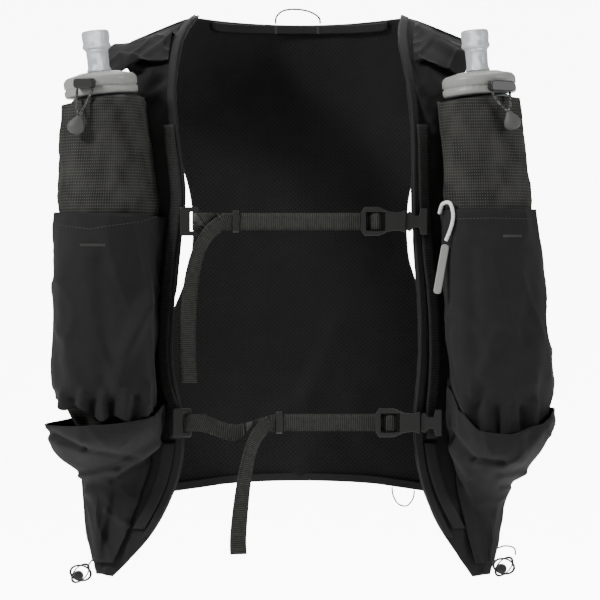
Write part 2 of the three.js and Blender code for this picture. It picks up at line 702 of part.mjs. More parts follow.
// Buckle body seen from the front: a webbing frame at the left, waisted sides, and two prong ends.
// Widths are shares of the buckle length, heights of the buckle width.
const buckleOutline = [[-0.5, 0.32], [-0.42, 0.5], [-0.1, 0.5], [0.14, 0.34], [0.36, 0.31], [0.5, 0.38]];
const buckleWindow = { start: -0.39, end: 0.05, height: 0.68 };
const buckleBar = { centre: -0.17, width: 0.13, depth: 0.4 };
function outlinePlate(outline, length, width, thickness, window) {
  const shape = new THREE.Shape();
  const at = ([x, y], flip) => [x * length, y * width * flip];
  shape.moveTo(...at(outline[0], -1));
  for (const point of outline.slice(1)) shape.lineTo(...at(point, -1));
  for (const point of outline.slice().reverse()) shape.lineTo(...at(point, 1));
  shape.closePath();
  if (window) {
    const hole = new THREE.Path();
    const half = window.height / 2;
    hole.moveTo(...at([window.start, half], 1));
    hole.lineTo(...at([window.end, half], 1));
    hole.lineTo(...at([window.end, half], -1));
    hole.lineTo(...at([window.start, half], -1));
    hole.closePath();
    shape.holes.push(hole);
  }
  return new THREE.ExtrudeGeometry(shape, { depth: thickness, bevelEnabled: false, curveSegments: 1 });
}
// Plates are extruded along +Z, then stood up so that their front faces -Y and their back lies at y = 0
const stood = (geometry) => geometry.rotateX(Math.PI / 2);
function buckleBody() {
  const frame = outlinePlate(buckleOutline, buckleLength, buckleWidth, buckleThickness, buckleWindow);
  const barThickness = buckleThickness * buckleBar.depth;
  const bar = new THREE.BoxGeometry(buckleLength * buckleBar.width, buckleWidth * 0.8, barThickness);
  bar.translate(buckleLength * buckleBar.centre, 0, barThickness / 2);
  return stood(joined([frame, bar]));
}

// Buckle hook: the other half, ending in an upright bar that lies on the daisy chain
const hookOutline = [[-0.5, 0.28], [-0.3, 0.36], [-0.1, 0.2], [0.12, 0.2], [0.2, 0.46], [0.5, 0.46]];
const buckleHook = () => stood(outlinePlate(hookOutline, hookLength, buckleWidth, sliderThickness));

// Slider: a frame clipped on the left daisy chain, with an upright bar that carries the webbing
const sliderBar = 2.4;
const sliderWindow = 3.6;
function sliderFrame() {
  const windowX = sliderLength / 2 - sliderBar - sliderWindow / 2;
  const openings = [[windowX, 0, sliderWindow, webbingWidth + 1.6]];
  return stood(plate(sliderLength, sliderWidth, plateCorner.slider, openings, sliderThickness));
}

// Webbing of one chest strap, from its sewn end round the slider bar, to the buckle bar and back through the
// keeper, to the loose tail. turn tips the width line from upright to level, and yaw twists it to the front.
function strapRibbon(rows, steps) {
  const curve = new THREE.CatmullRomCurve3(rows.map((r) => new THREE.Vector3(r.x, r.y, r.z)), false, 'centripetal');
  const last = rows.length - 1;
  const at = (column, v) => {
    const i = Math.min(Math.floor(v * last), last - 1);
    return THREE.MathUtils.lerp(rows[i][column], rows[i + 1][column], v * last - i);
  };
  const surface = (u, v) => {
    const turn = THREE.MathUtils.degToRad(at('turn', v));
    const yaw = THREE.MathUtils.degToRad(at('yaw', v));
    const width = new THREE.Vector3(-Math.sin(turn) * Math.cos(yaw), -Math.sin(yaw), Math.cos(turn) * Math.cos(yaw));
    return curve.getPoint(v).addScaledVector(width, (u - 0.5) * webbingWidth);
  };
  const wall = (u, v) => surface(u, v).addScaledVector(normalAt(surface, u, v, -1), webbingThickness / 2);
  return clothWall(wall, [1, steps], webbingThickness, 1);
}

// Chest straps: heights, slider and buckle places across the vest, keeper place, and the tail
const strapColumns = ['x', 'y', 'z', 'turn', 'yaw'];
const straps = {
  upper: { drop: upperStrapDrop, sliderX: -77.5, buckleX: 58.2, keeperX: -45, sagX: -57, sagReach: 2.5, sag: 0 },
  lower: { drop: lowerStrapDrop, sliderX: -82.5, buckleX: 68.5, keeperX: -14.5, sagX: -46, sagReach: 12, sag: 9 },
};
const plateBack = (drop) => {
  const lead = (side) => edgeStrip(side, daisyInset[side], daisyWidth, () => daisyLift + daisyLoopHeight
    + webbingThickness, daisyEnds.top, daisyEnds.bottom);
  const v = (shareAtDrop(drop) - daisyEnds.top) / (daisyEnds.bottom - daisyEnds.top);
  return Math.min(lead(left)(0.5, v).y, lead(right)(0.5, v).y, lead(left)(0, v).y, lead(right)(0, v).y) - gap;
};
const sliderBarX = (strap) => strap.sliderX + sliderLength / 2 - sliderBar / 2;
const buckleBarX = (strap) => strap.buckleX + buckleLength * buckleBar.centre;
const wrap = webbingThickness / 2 + layerGap;
const tails = {
  upper: table(strapColumns, [
    [-51, -2.6, -0.5, 8, 4], [-59, -5.2, -3, 30, 30], [-67, -6.6, -11.5, 52, 48], [-73.2, -6.4, -26, 72, 46],
    [-77, -5.8, -47, 84, 36], [-78.6, -5.4, -72, 88, 28], [-78.6, -5.2, -97, 90, 26], [-77.6, -5.4, -113, 90, 24],
  ]),
  lower: table(strapColumns, [
    [-20, -2.6, -0.5, 8, 4], [-27, -5.2, -4, 34, 30], [-33.5, -6.8, -14, 58, 48], [-37.5, -6.6, -30, 76, 46],
    [-40.6, -6.0, -50, 80, 36], [-42.6, -5.6, -70, 84, 26], [-43.6, -5.4, -84, 88, 22], [-43, -5.6, -92, 90, 20],
  ]),
};
function strapRows(strap, tail) {
  const back = plateBack(strap.drop);
  const z = -strap.drop;
  const barY = back - sliderThickness / 2;
  const sx = sliderBarX(strap);
  const barHalf = sliderBar / 2 + 0.2;
  const round = sliderThickness / 2 + wrap;
  const bx = buckleBarX(strap);
  const halfBar = buckleLength * buckleBar.width / 2 + wrap + 0.2;
  const barFront = back - buckleThickness * buckleBar.depth - wrap - 0.2;
  const behind = back + gap + webbingThickness / 2;
  const farBehind = behind + webbingThickness + gap;
  const rows = [
    [sx + 12, barY + round + 0.2, 0], [sx + 2, barY + round, 0], [sx - barHalf, barY + round, 0],
    [sx - barHalf - wrap * 0.9, barY + round * 0.64, 0], [sx - barHalf - wrap, barY, 0],
    [sx - barHalf - wrap * 0.9, barY - round * 0.64, 0], [sx - barHalf, barY - round, 0], [sx + 2, barY - round, 0],
    [sx + 9, barY - round + 0.6, 0], [strap.sagX - strap.sagReach, farBehind, -strap.sag * 0.4],
    [strap.sagX, farBehind, -strap.sag], [strap.sagX + strap.sagReach, farBehind, -strap.sag * 0.55],
    [strap.keeperX - 5, farBehind, 0], [strap.keeperX + 10, farBehind, 0], [bx - 14, farBehind, 0],
    [bx - 2, farBehind - 0.2, 0], [bx + halfBar - 0.6, behind + 0.4, 0], [bx + halfBar + 0.2, (behind + barFront) / 2, 0],
    [bx + halfBar - 1.6, barFront, 0], [bx - halfBar + 1.6, barFront, 0], [bx - halfBar, (behind + barFront) / 2, 0],
    [bx - halfBar - 1.8, behind, 0], [bx - 14, behind, 0], [strap.keeperX + 10, behind, 0],
    [strap.keeperX - 3, behind - 0.3, 0],
  ];
  const chest = rows.map(([x, y, dz]) => ({ x, y, z: z + dz, turn: 0, yaw: 0 }));
  const loose = tail.map((row) => ({ ...row, y: back + row.y, z: z + row.z }));
  return chest.concat(loose);
}
function keeperRing(strap) {
  const inner = 2 * webbingThickness + 3 * gap;
  const ring = plate(webbingWidth + 2 * (gap + keeperWall), inner + 2 * keeperWall, plateCorner.keeper,
    [[0, 0, webbingWidth + 2 * gap, inner]], keeperWidth);
  ring.rotateY(Math.PI / 2);
  ring.translate(strap.keeperX - keeperWidth / 2, plateBack(strap.drop) + inner / 2, -strap.drop);
  return ring;
}

// Zip welts: strips along the panel below the daisy chains
const weltWidth = 10.5;
const weltInset = { [left]: [7.2, 8.2], [right]: [7.5, 11] };
const weltDrop = { top: 305, bottom: 367 };

// Toggles, pulls and routes of the drawcords
const toggleHeight = 7.4;
const toggleDepth = 6;
const pullWidth = 12.2;
const pullLength = 13.2;
const pullFlatness = 0.6;
const toggles = {
  [left]: { width: 15, place: [-149, -114.9, -54], turn: -20, pull: [-157.4, -122.2, -89.5], lean: 18.6 },
  [right]: { width: 20, place: [138.6, -118.2, -56.1], turn: 29, pull: [149.1, -124.5, -86.5], lean: -19.6 },
};
const drawcordRoutes = {
  [left]: [[-155.3, -116.4, -58.1], [-155.3, -119.4, -67], [-154.9, -121.8, -73.5], [-153.3, -122.4, -76.8],
    [-151.6, -121.9, -74], [-147.5, -120.4, -66], [-144.2, -119.2, -58.1]],
  [right]: [[133.2, -124.2, -60.6], [136.2, -124.4, -65.6], [141.3, -124.6, -71.3], [144.4, -124.6, -73.4],
    [145.8, -123.6, -70.6], [146, -121, -66], [146, -118.6, -60.2]],
};

// Zip pull
const pullerWidth = 5.6;
const pullerLength = 35;
const pullerThickness = 2.6;
const pullerPlace = [98.4, -114.6, -183.5];
const pullerLean = 10;
const zipPullRoute = [[97.6, -104.6, -144], [99.6, -112.4, -138], [104.2, -119.4, -137.6], [106.4, -122, -145.6],
  [105.4, -121.4, -153], [103, -119.6, -160], [101.7, -117.6, -163.4]];

// Hang loop and hem loop
const hangRoute = [[-18.6, 96, 5.4], [-18, 96, 10.4], [-13, 96, 15], [-2, 96, 16.2], [8.4, 96, 14], [14.6, 96, 9.6],
  [15.4, 96, 5.4]];
const hemRoute = [[70, 94.4, -347.4], [70.8, 93.8, -353.5], [75, 92, -360.2], [81, 89.6, -361.2], [85.6, 87.6, -355.8],
  [86.8, 87.1, -349.5]];

// Cord keepers at the tips: a disc with a square tab, and the cord that holds it
const keeperRadius = 8.2;
const keeperDepth = 4.6;
const keeperTab = 6.4;
const tabSide = { [left]: -1, [right]: 1 };
const tabShare = { out: 0.75, front: 0.65, up: 0.55 };
const keeperPlace = { [left]: [-156.6, -49, -400.6], [right]: [144.4, -66, -394.4] };
const keeperRoutes = {
  [left]: [[-143.6, -60.4, -387], [-147, -60, -389.4], [-150, -57.4, -392.6], [-151.6, -55, -395.2]],
  [right]: [[139.8, -66, -381.8], [146, -68.4, -379.8], [152.2, -69, -381.4], [153.4, -68.8, -386.2]],
};

// Facets across and along each cloth wall, and along each cord
const facets = {
  frontPanel: [5, 22],
  sidePanel: [7, 4],
  edgeStrip: [1, 22],
  shoulderPouch: [7, 4],
  sleeve: [14, 9],
  pocket: [14, 8],
  pouch: [12, 9],
  welt: [1, 8],
};
const cordFacets = { drawcord: 16, zipPull: 14, hang: 18, hem: 12, keeper: 7 };
const turnedSides = 12;
const keeperSides = 16;

const vest = new THREE.Group();
function add(name, geometry, look, parent = vest) {
  const mesh = new THREE.Mesh(geometry, new THREE.MeshStandardMaterial(look));
  mesh.name = name;
  parent.add(mesh);
  return mesh;
}
const word = (side) => (side === left ? 'left' : 'right');

const airMesh = { color: 0x1c1c1c, roughness: 0.9, metalness: 0 };
const sleeveMesh = { color: 0x262626, roughness: 0.85, metalness: 0 };
const stretchCloth = { color: 0x1e1e1e, roughness: 0.85, metalness: 0 };
const boundEdge = { color: 0x333333, roughness: 0.8, metalness: 0 };
const webbing = { color: 0x2e2f2b, roughness: 0.8, metalness: 0 };
const moulded = { color: 0x3c3c3a, roughness: 0.45, metalness: 0 };
const clearTpu = { color: 0x9aa0a2, roughness: 0.3, metalness: 0 };
const capPlastic = { color: 0xa5a6a0, roughness: 0.5, metalness: 0 };
const silicone = { color: 0xcdd2d4, roughness: 0.35, metalness: 0 };
const darkCord = { color: 0x202020, roughness: 0.8, metalness: 0 };
const paleCord = { color: 0xdcdcda, roughness: 0.7, metalness: 0 };

// Body of the vest
add('back_panel', clothWall(backSurface, [backAcross, backAlong], meshThickness, 1), airMesh);
add('collar_binding', backBand(collarColumns, hemShare, surfaceStep, bandGap.collar), boundEdge);
add('hem_binding', backBand(hemColumns, 1 - surfaceStep, 1 - hemShare, bandGap.hem), boundEdge);
for (const side of [left, right]) {
  const facing = frontSide[side];
  const name = word(side);
  add(`front_panel_${name}`, clothWall(frontInside[side], facets.frontPanel, shellThickness, facing), stretchCloth);
  add(`side_panel_${name}`, clothWall(sidePanel(side), facets.sidePanel, stretchThickness, -facing), stretchCloth);
  const binding = edgeStrip(side, bindingInset, bindingWidth, () => layerGap, bindingEnds.top, bindingEnds.bottom);
  add(`edge_binding_${name}`, clothWall(binding, facets.edgeStrip, bindingThickness, facing), boundEdge);
  const daisy = edgeStrip(side, daisyInset[side], daisyWidth, daisyShape, daisyEnds.top, daisyEnds.bottom);
  add(`daisy_chain_${name}`, clothWall(daisy, [1, daisyLoops * 2], webbingThickness, facing), webbing);
  add(`shoulder_pouch_${name}`, clothWall(shoulderPouchSurface(side), facets.shoulderPouch, stretchThickness, facing), stretchCloth);
  add(`flask_${name}`, flaskBody(side), clearTpu);
  const sleeve = tautCloth(side, sleeveShape(side));
  add(`flask_sleeve_${name}`, clothWall(sleeve, facets.sleeve, stretchThickness, facing), sleeveMesh);
  const pocket = tautCloth(side, pocketShape(side));
  add(`stretch_pocket_${name}`, clothWall(pocket, facets.pocket, stretchThickness, facing), stretchCloth);
  const pouch = tautCloth(side, pouchShape(side));
  add(`lower_pouch_${name}`, clothWall(pouch, facets.pouch, stretchThickness, facing), stretchCloth);

  const seat = seats[side];
  const top = new THREE.Group();
  top.position.copy(seat.start).addScaledVector(seat.start.clone().sub(seat.end).normalize(), gap);
  top.rotation.y = -flaskTilt[side];
  vest.add(top);
  add(`flask_cap_${name}`, turned(capProfile, capDiameter / 2, capHeight, roundSides), capPlastic, top);
  const valve = add(`bite_valve_${name}`, turned(valveProfile, valveDiameter / 2, valveHeight, turnedSides), silicone, top);
  valve.position.z = capHeight + gap;
}

// Chest straps with their hardware
for (const name of ['upper', 'lower']) {
  const strap = straps[name];
  const back = plateBack(strap.drop);
  const rows = strapRows(strap, tails[name]);
  add(`${name}_chest_strap`, strapRibbon(rows, rows.length - 1), webbing);
  add(`${name}_slider`, sliderFrame(), moulded).position.set(strap.sliderX, back, -strap.drop);
  add(`${name}_buckle`, buckleBody(), moulded).position.set(strap.buckleX, back, -strap.drop);
  const hookX = strap.buckleX + (buckleLength + hookLength) / 2 + gap;
  add(`${name}_buckle_hook`, buckleHook(), moulded).position.set(hookX, back, -strap.drop);
  add(`${name}_keeper`, keeperRing(strap), moulded);
}

// Zip welts beside the lower pouches
for (const side of [left, right]) {
  const strip = edgeStrip(side, weltInset[side], weltWidth, () => layerGap, shareAtDrop(weltDrop.top),
    shareAtDrop(weltDrop.bottom));
  add(`zip_welt_${word(side)}`, clothWall(strip, facets.welt, bindingThickness, frontSide[side]), boundEdge);
}

// Cord toggles in front of the caps, their looped drawcords, and the pulls that the loops end in. Their places are drawn
// for caps seated at these points, and they go with the caps.
const drawnSeat = { [left]: [-139.864, -89.826, -61], [right]: [126.429, -94.127, -61] };
for (const side of [left, right]) {
  const name = word(side);
  const t = toggles[side];
  const hung = new THREE.Group();
  hung.position.copy(seats[side].start).sub(new THREE.Vector3(...drawnSeat[side]));
  vest.add(hung);
  const toggle = add(`cord_toggle_${name}`, stood(plate(t.width, toggleHeight, plateCorner.toggle, [], toggleDepth)), moulded, hung);
  toggle.position.set(...t.place);
  toggle.rotation.z = THREE.MathUtils.degToRad(t.turn);
  add(`drawcord_${name}`, cordTube(drawcordRoutes[side], drawcordDiameter, cordFacets.drawcord), darkCord, hung);
  const pull = add(`cord_pull_${name}`, turned(pullProfile, pullWidth / 2, pullLength, turnedSides), moulded, hung);
  pull.position.set(...t.pull);
  pull.rotation.y = THREE.MathUtils.degToRad(t.lean);
  pull.scale.y = pullFlatness;
}

// Zip pull of the right pocket: a pale cord loop and a flat puller
add('zip_pull_loop', cordTube(zipPullRoute, pullCordDiameter, cordFacets.zipPull), paleCord);
const puller = add('zip_puller', stood(plate(pullerWidth, pullerLength, plateCorner.puller, [], pullerThickness)), moulded);
puller.position.set(...pullerPlace);
puller.rotation.y = THREE.MathUtils.degToRad(pullerLean);

// Hang loop at the collar and the cord loop under the hem
add('hang_loop', cordTube(hangRoute, hangCordDiameter, cordFacets.hang), darkCord);
add('hem_cord_loop', cordTube(hemRoute, hemCordDiameter, cordFacets.hem), darkCord);

// Cord keepers at the tips
for (const side of [left, right]) {
  const name = word(side);
  const disc = new THREE.CylinderGeometry(keeperRadius, keeperRadius, keeperDepth, keeperSides);
  disc.translate(0, -keeperDepth / 2, 0);
  const tab = new THREE.BoxGeometry(keeperTab, keeperDepth, keeperTab);
  tab.translate(keeperRadius * tabShare.out * tabSide[side], -keeperDepth * tabShare.front, keeperRadius * tabShare.up);
  add(`cord_keeper_${name}`, joined([disc, tab]), moulded).position.set(...keeperPlace[side]);
  add(`keeper_cord_${name}`, cordTube(keeperRoutes[side], keeperCordDiameter, cordFacets.keeper), darkCord);
}

export default vest;
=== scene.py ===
import math
import bpy
import bmesh
from mathutils import Matrix, Vector, noise
from mathutils.bvhtree import BVHTree


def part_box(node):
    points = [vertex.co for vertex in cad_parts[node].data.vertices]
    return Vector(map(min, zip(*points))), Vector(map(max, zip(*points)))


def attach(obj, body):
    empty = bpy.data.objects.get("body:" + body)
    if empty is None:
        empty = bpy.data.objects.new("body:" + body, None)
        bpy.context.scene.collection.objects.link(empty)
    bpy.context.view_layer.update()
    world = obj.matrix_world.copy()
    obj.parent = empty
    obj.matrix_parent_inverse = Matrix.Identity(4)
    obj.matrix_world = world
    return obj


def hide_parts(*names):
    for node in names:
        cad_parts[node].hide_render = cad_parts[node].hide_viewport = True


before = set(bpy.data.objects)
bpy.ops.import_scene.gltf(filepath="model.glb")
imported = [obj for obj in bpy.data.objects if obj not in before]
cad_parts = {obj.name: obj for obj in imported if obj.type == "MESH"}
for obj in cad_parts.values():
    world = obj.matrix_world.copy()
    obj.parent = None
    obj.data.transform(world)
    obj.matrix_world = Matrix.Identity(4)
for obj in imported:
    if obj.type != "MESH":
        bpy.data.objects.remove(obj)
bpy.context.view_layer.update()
mm = 0.001
mmPerMetre = 1000

# Camera straight ahead, level with the middle of the vest
cameraPlace = Vector((0, -2.4, -0.205))
pictureSize = 600
pictureMiddle = pictureSize / 2
focalPixels = 3279
sensorWidth = 36
lens = bpy.data.cameras.new("studioCamera")
lens.lens = focalPixels / pictureSize * sensorWidth
lens.sensor_width = sensorWidth
camera = bpy.data.objects.new("studioCamera", lens)
camera.location = cameraPlace
camera.rotation_euler = (math.radians(90), 0, 0)
bpy.context.scene.collection.objects.link(camera)
bpy.context.scene.camera = camera

# What one picture pixel measures at the front of the vest
pixel = 0.7 * mm


def photoPlace(co):
    depth = co.y - cameraPlace.y
    return (pictureMiddle + co.x / depth * focalPixels,
            pictureMiddle - (co.z - cameraPlace.z) / depth * focalPixels)


# Materials, all from node trees; depths say how far a bump stands out
oneBand = math.pi / 10  # a wave texture's scale for one band in each unit
holeDepth = 0.6 * mm
weaveDepth = 0.25 * mm
ribDepth = 0.35 * mm
grainDepth = 0.08 * mm


def srgb(hexColour):
    parts = [int(hexColour[i:i + 2], 16) / 255 for i in (1, 3, 5)]
    return tuple(p / 12.92 if p <= 0.04045 else ((p + 0.055) / 1.055) ** 2.4 for p in parts) + (1,)


def addNode(tree, kind, sockets=None, **settings):
    made = tree.nodes.new(kind)
    for key, value in settings.items():
        setattr(made, key, value)
    for key, value in (sockets or {}).items():
        if isinstance(value, bpy.types.NodeSocket):
            tree.links.new(value, made.inputs[key])
        else:
            made.inputs[key].default_value = value
    return made


def newMaterial(name, colour, roughness, specular=0.5):
    material = bpy.data.materials.new(name)
    material.use_nodes = True
    tree = material.node_tree
    shader = tree.nodes["Principled BSDF"]
    shader.inputs["Base Color"].default_value = srgb(colour)
    shader.inputs["Roughness"].default_value = roughness
    shader.inputs["Specular IOR Level"].default_value = specular
    return material, tree, shader


def clothUv(tree, spacing, turn=0.0):
    uv = addNode(tree, "ShaderNodeUVMap", uv_map="cloth")
    placed = addNode(tree, "ShaderNodeMapping", {"Vector": uv.outputs["UV"], "Rotation": (0, 0, turn),
                                                 "Scale": (1 / spacing, 1 / spacing, 1)})
    return placed.outputs["Vector"]


def mixColours(tree, factor, first, second):
    mix = addNode(tree, "ShaderNodeMix", data_type="RGBA")
    for index, value in ((0, factor), (6, first), (7, second)):
        if isinstance(value, bpy.types.NodeSocket):
            tree.links.new(value, mix.inputs[index])
        else:
            mix.inputs[index].default_value = value
    return mix.outputs[2]


def ramp(tree, value, low, high):
    made = addNode(tree, "ShaderNodeMapRange", {"Value": value, "From Min": low, "From Max": high})
    made.interpolation_type = "SMOOTHSTEP"
    return made.outputs["Result"]


def bump(tree, height, strength, distance):
    sockets = {"Height": height, "Strength": strength, "Distance": distance}
    return addNode(tree, "ShaderNodeBump", sockets).outputs["Normal"]


def dottedCloth(name, colour, dotColour, spacing, size, roughness, strength, turn):
    material, tree, shader = newMaterial(name, colour, roughness, 0.2)
    dots = addNode(tree, "ShaderNodeTexVoronoi",
                   {"Vector": clothUv(tree, spacing, turn), "Scale": 1.0, "Randomness": 0.0},
                   voronoi_dimensions="2D")
    away = ramp(tree, dots.outputs["Distance"], size * 0.7, size * 1.15)
    patches = addNode(tree, "ShaderNodeTexNoise",
                      {"Vector": clothUv(tree, 20 * mm), "Scale": 1.0, "Detail": 3.0})
    patchy = ramp(tree, patches.outputs["Fac"], 0.3, 0.75)
    shade = mixColours(tree, patchy, srgb(dotColour), srgb(colour))
    body = mixColours(tree, 0.25, srgb(colour), shade)
    # Each hole takes the dot colour: painted shade on the spacer mesh, the flask seen through on the
    # sleeve mesh
    tree.links.new(mixColours(tree, away, srgb(dotColour), body), shader.inputs["Base Color"])
    tree.links.new(bump(tree, away, strength, holeDepth), shader.inputs["Normal"])
    return material


def wovenCloth(name, colour, highlightColour, spacing, roughness, strength, sheen):
    material, tree, shader = newMaterial(name, colour, roughness, 0.2)
    threads = {"Vector": clothUv(tree, spacing), "Scale": oneBand, "Distortion": 0.5, "Detail": 1.0}
    across = addNode(tree, "ShaderNodeTexWave", threads, bands_direction="Y")
    along = addNode(tree, "ShaderNodeTexWave", threads, bands_direction="X")
    weave = addNode(tree, "ShaderNodeMath", {0: across.outputs["Fac"], 1: along.outputs["Fac"]},
                    operation="MULTIPLY")
    # Painted highlight: the raised threads take the lighter colour where a noise is high
    threadGlintNoise = addNode(tree, "ShaderNodeTexNoise",
                   {"Vector": clothUv(tree, 12 * mm), "Scale": 1.0, "Detail": 6.0})
    threadGlintPatches = ramp(tree, threadGlintNoise.outputs["Fac"], 0.35, 0.8)
    litThreadColour = mixColours(tree, threadGlintPatches, srgb(colour), srgb(highlightColour))
    woven = mixColours(tree, weave.outputs[0], srgb(colour), litThreadColour)
    tree.links.new(woven, shader.inputs["Base Color"])
    tree.links.new(bump(tree, weave.outputs[0], strength, weaveDepth), shader.inputs["Normal"])
    shader.inputs["Sheen Weight"].default_value = sheen
    shader.inputs["Sheen Roughness"].default_value = 0.6
    return material


def ribbedCloth(name, colour, highlightColour, spacing, roughness, strength):
    material, tree, shader = newMaterial(name, colour, roughness, 0.25)
    ribs = addNode(tree, "ShaderNodeTexWave",
                   {"Vector": clothUv(tree, spacing), "Scale": oneBand, "Distortion": 0.3,
                    "Detail": 1.0}, bands_direction="X")
    # Painted highlight: the raised ribs take the lighter colour where a noise is high
    ribGlintNoise = addNode(tree, "ShaderNodeTexNoise",
                   {"Vector": clothUv(tree, 3 * mm), "Scale": 1.0, "Detail": 4.0})
    raised = addNode(tree, "ShaderNodeMath", {0: ribs.outputs["Fac"], 1: ribGlintNoise.outputs["Fac"]},
                     operation="MULTIPLY")
    litRibTops = ramp(tree, raised.outputs[0], 0.1, 0.5)
    shade = mixColours(tree, litRibTops, srgb(colour), srgb(highlightColour))
    tree.links.new(shade, shader.inputs["Base Color"])
    tree.links.new(bump(tree, ribs.outputs["Fac"], strength, ribDepth), shader.inputs["Normal"])
    return material


def plainMaterial(name, colour, roughness, grain, grainSize=0.4 * mm, transmission=0.0):
    material, tree, shader = newMaterial(name, colour, roughness)
    spot = addNode(tree, "ShaderNodeTexCoord")
    cloud = addNode(tree, "ShaderNodeTexNoise",
                    {"Vector": spot.outputs["Object"], "Scale": 1 / grainSize, "Detail": 4.0})
    tree.links.new(bump(tree, cloud.outputs["Fac"], grain, grainDepth), shader.inputs["Normal"])
    uneven = addNode(tree, "ShaderNodeMapRange",
                     {"Value": cloud.outputs["Fac"], "To Min": roughness - 0.06,
                      "To Max": roughness + 0.08})
    tree.links.new(uneven.outputs["Result"], shader.inputs["Roughness"])
    shader.inputs["Transmission Weight"].default_value = transmission
    return material


def braidedCord(name, colour, fleckColour, spacing):
    material, tree, shader = newMaterial(name, colour, 0.7)
    spot = addNode(tree, "ShaderNodeTexCoord")
    braid = addNode(tree, "ShaderNodeTexVoronoi",
                    {"Vector": spot.outputs["Object"], "Scale": 1 / spacing})
    fleck = ramp(tree, braid.outputs["Distance"], 0.55, 0.75)
    shade = mixColours(tree, fleck, srgb(colour), srgb(fleckColour))
    tree.links.new(shade, shader.inputs["Base Color"])
    tree.links.new(bump(tree, braid.outputs["Distance"], 0.7, weaveDepth), shader.inputs["Normal"])
    return material


# Open spacer mesh: round holes in staggered rows, bumped inwards, over a black knit, with painted shade
# inside each hole
airMesh = dottedCloth("black spacer mesh", "#1b1b1b", "#090909", 2.4 * mm, 0.3, 0.85, 0.7,
                      math.radians(45))
# Perforated stretch mesh: small paler dots in straight rows, where the flask shows through
sleeveMesh = dottedCloth("perforated stretch mesh", "#171717", "#55554f", 2.1 * mm, 0.19, 0.8, 0.5, 0)
# Fine stretch knit: two crossed waves for the weave, a painted highlight on the raised threads in noise
# patches, and a soft sheen
stretchKnit = wovenCloth("black stretch knit", "#171717", "#232322", 0.9 * mm, 0.82, 0.45, 0.03)
# Folded edge tape: the same weave, finer and more raised
boundTape = wovenCloth("folded binding tape", "#1c1c1c", "#2a2a29", 0.8 * mm, 0.75, 0.6, 0.02)
# Nylon webbing: one wave for the raised ribs across it, with a painted highlight on the rib tops,
# broken up by noise
webbingCloth = ribbedCloth("nylon webbing", "#121311", "#3a3b36", 1.3 * mm, 0.62, 1.0)
# Daisy chain tape: the same ribs, darker and finer
daisyTape = ribbedCloth("daisy chain tape", "#101010", "#2a2a28", 1.1 * mm, 0.7, 0.8)
# Acetal mouldings: satin, with a faint noise grain
moulded = plainMaterial("black acetal", "#1e1e1d", 0.36, 0.25)
# Polypropylene caps: grey satin with a faint noise grain
capPlastic = plainMaterial("grey polypropylene", "#8c8e89", 0.42, 0.2)
# Silicone valves: part of the light goes through, cloudy where it is thick
silicone = plainMaterial("clear silicone", "#cfd5d8", 0.3, 0.1, 0.8 * mm, 0.35)
# Flask film: slightly clear, with wide shallow dents
flaskFilm = plainMaterial("soft flask film", "#8d9294", 0.3, 0.3, 2 * mm, 0.2)
# Braided cords: cells for the braid, with a fleck at each cell's edge
darkCord = braidedCord("black braided cord", "#1d1d1d", "#6a6a66", 0.9 * mm)
paleCord = braidedCord("pale braided cord", "#dcdcda", "#f2f2f0", 1.2 * mm)
# Rubber pulls: matt, with a rougher grain
rubber = plainMaterial("soft rubber pull", "#454543", 0.6, 0.4)
# The zip puller: paler, rougher acetal
palePlastic = plainMaterial("pale grey acetal", "#8f908d", 0.45, 0.3)
# Polyester thread: matt and fuzzy
thread = plainMaterial("black sewing thread", "#3b3b39", 0.7, 0.5)
print("materials ready")


# Every piece with a mesh ends here, with its material and the nodes it stands for
def finishPiece(name, bm, material, nodes, smooth=True):
    mesh = bpy.data.meshes.new(name)
    bmesh.ops.recalc_face_normals(bm, faces=bm.faces)
    bm.to_mesh(mesh)
    bm.free()
    piece = bpy.data.objects.new(name, mesh)
    bpy.context.scene.collection.objects.link(piece)
    mesh.materials.append(material)
    for face in mesh.polygons:
        face.use_smooth = smooth
    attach(piece, "root")
    if nodes:
        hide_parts(*nodes)
    return piece


def merged(node):
    bm = bmesh.new()
    bm.from_mesh(bpy.data.objects[node].data)
    bmesh.ops.remove_doubles(bm, verts=bm.verts, dist=0.02 * mm)
    return bm


# Cords, smoothed along the routes of the solids; stepsPerKnot points from one knot to the next
stepsPerKnot = 8


def smoothRoute(points):
    knots = [Vector(p) * mm for p in points]
    ends = [2 * knots[0] - knots[1]] + knots + [2 * knots[-1] - knots[-2]]
    route = []
    for i in range(len(knots) - 1):
        a, b, c, d = ends[i:i + 4]
        t = [0.0]
        for p, q in ((a, b), (b, c), (c, d)):
            t.append(t[-1] + max((q - p).length, 1e-6) ** 0.5)
        for k in range(stepsPerKnot):
            s = t[1] + (t[2] - t[1]) * k / stepsPerKnot
            ab = a.lerp(b, (s - t[0]) / (t[1] - t[0]))
            bc = b.lerp(c, (s - t[1]) / (t[2] - t[1]))
            cd = c.lerp(d, (s - t[2]) / (t[3] - t[2]))
            abc = ab.lerp(bc, (s - t[0]) / (t[2] - t[0]))
            bcd = bc.lerp(cd, (s - t[1]) / (t[3] - t[1]))
            route.append(abc.lerp(bcd, (s - t[1]) / (t[2] - t[1])))
    return route + [knots[-1]]


def cordPiece(name, form):
    route = smoothRoute(form["route"])
    curve = bpy.data.curves.new(name, "CURVE")
    curve.dimensions = "3D"
    curve.bevel_depth = form["diameter"] / 2
    curve.bevel_resolution = 4
    curve.use_fill_caps = True
    spline = curve.splines.new("POLY")
    spline.points.add(len(route) - 1)
    for point, co in zip(spline.points, route):
        point.co = (*co, 1)
    curve.materials.append(form.get("material", darkCord))
    piece = bpy.data.objects.new(name, curve)
    bpy.context.scene.collection.objects.link(piece)
    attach(piece, "root")
    form.get("slot", "dark_cord")
    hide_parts(form["node"])
    length = sum((b - a).length for a, b in zip(route, route[1:]))
    return piece, route[0], length
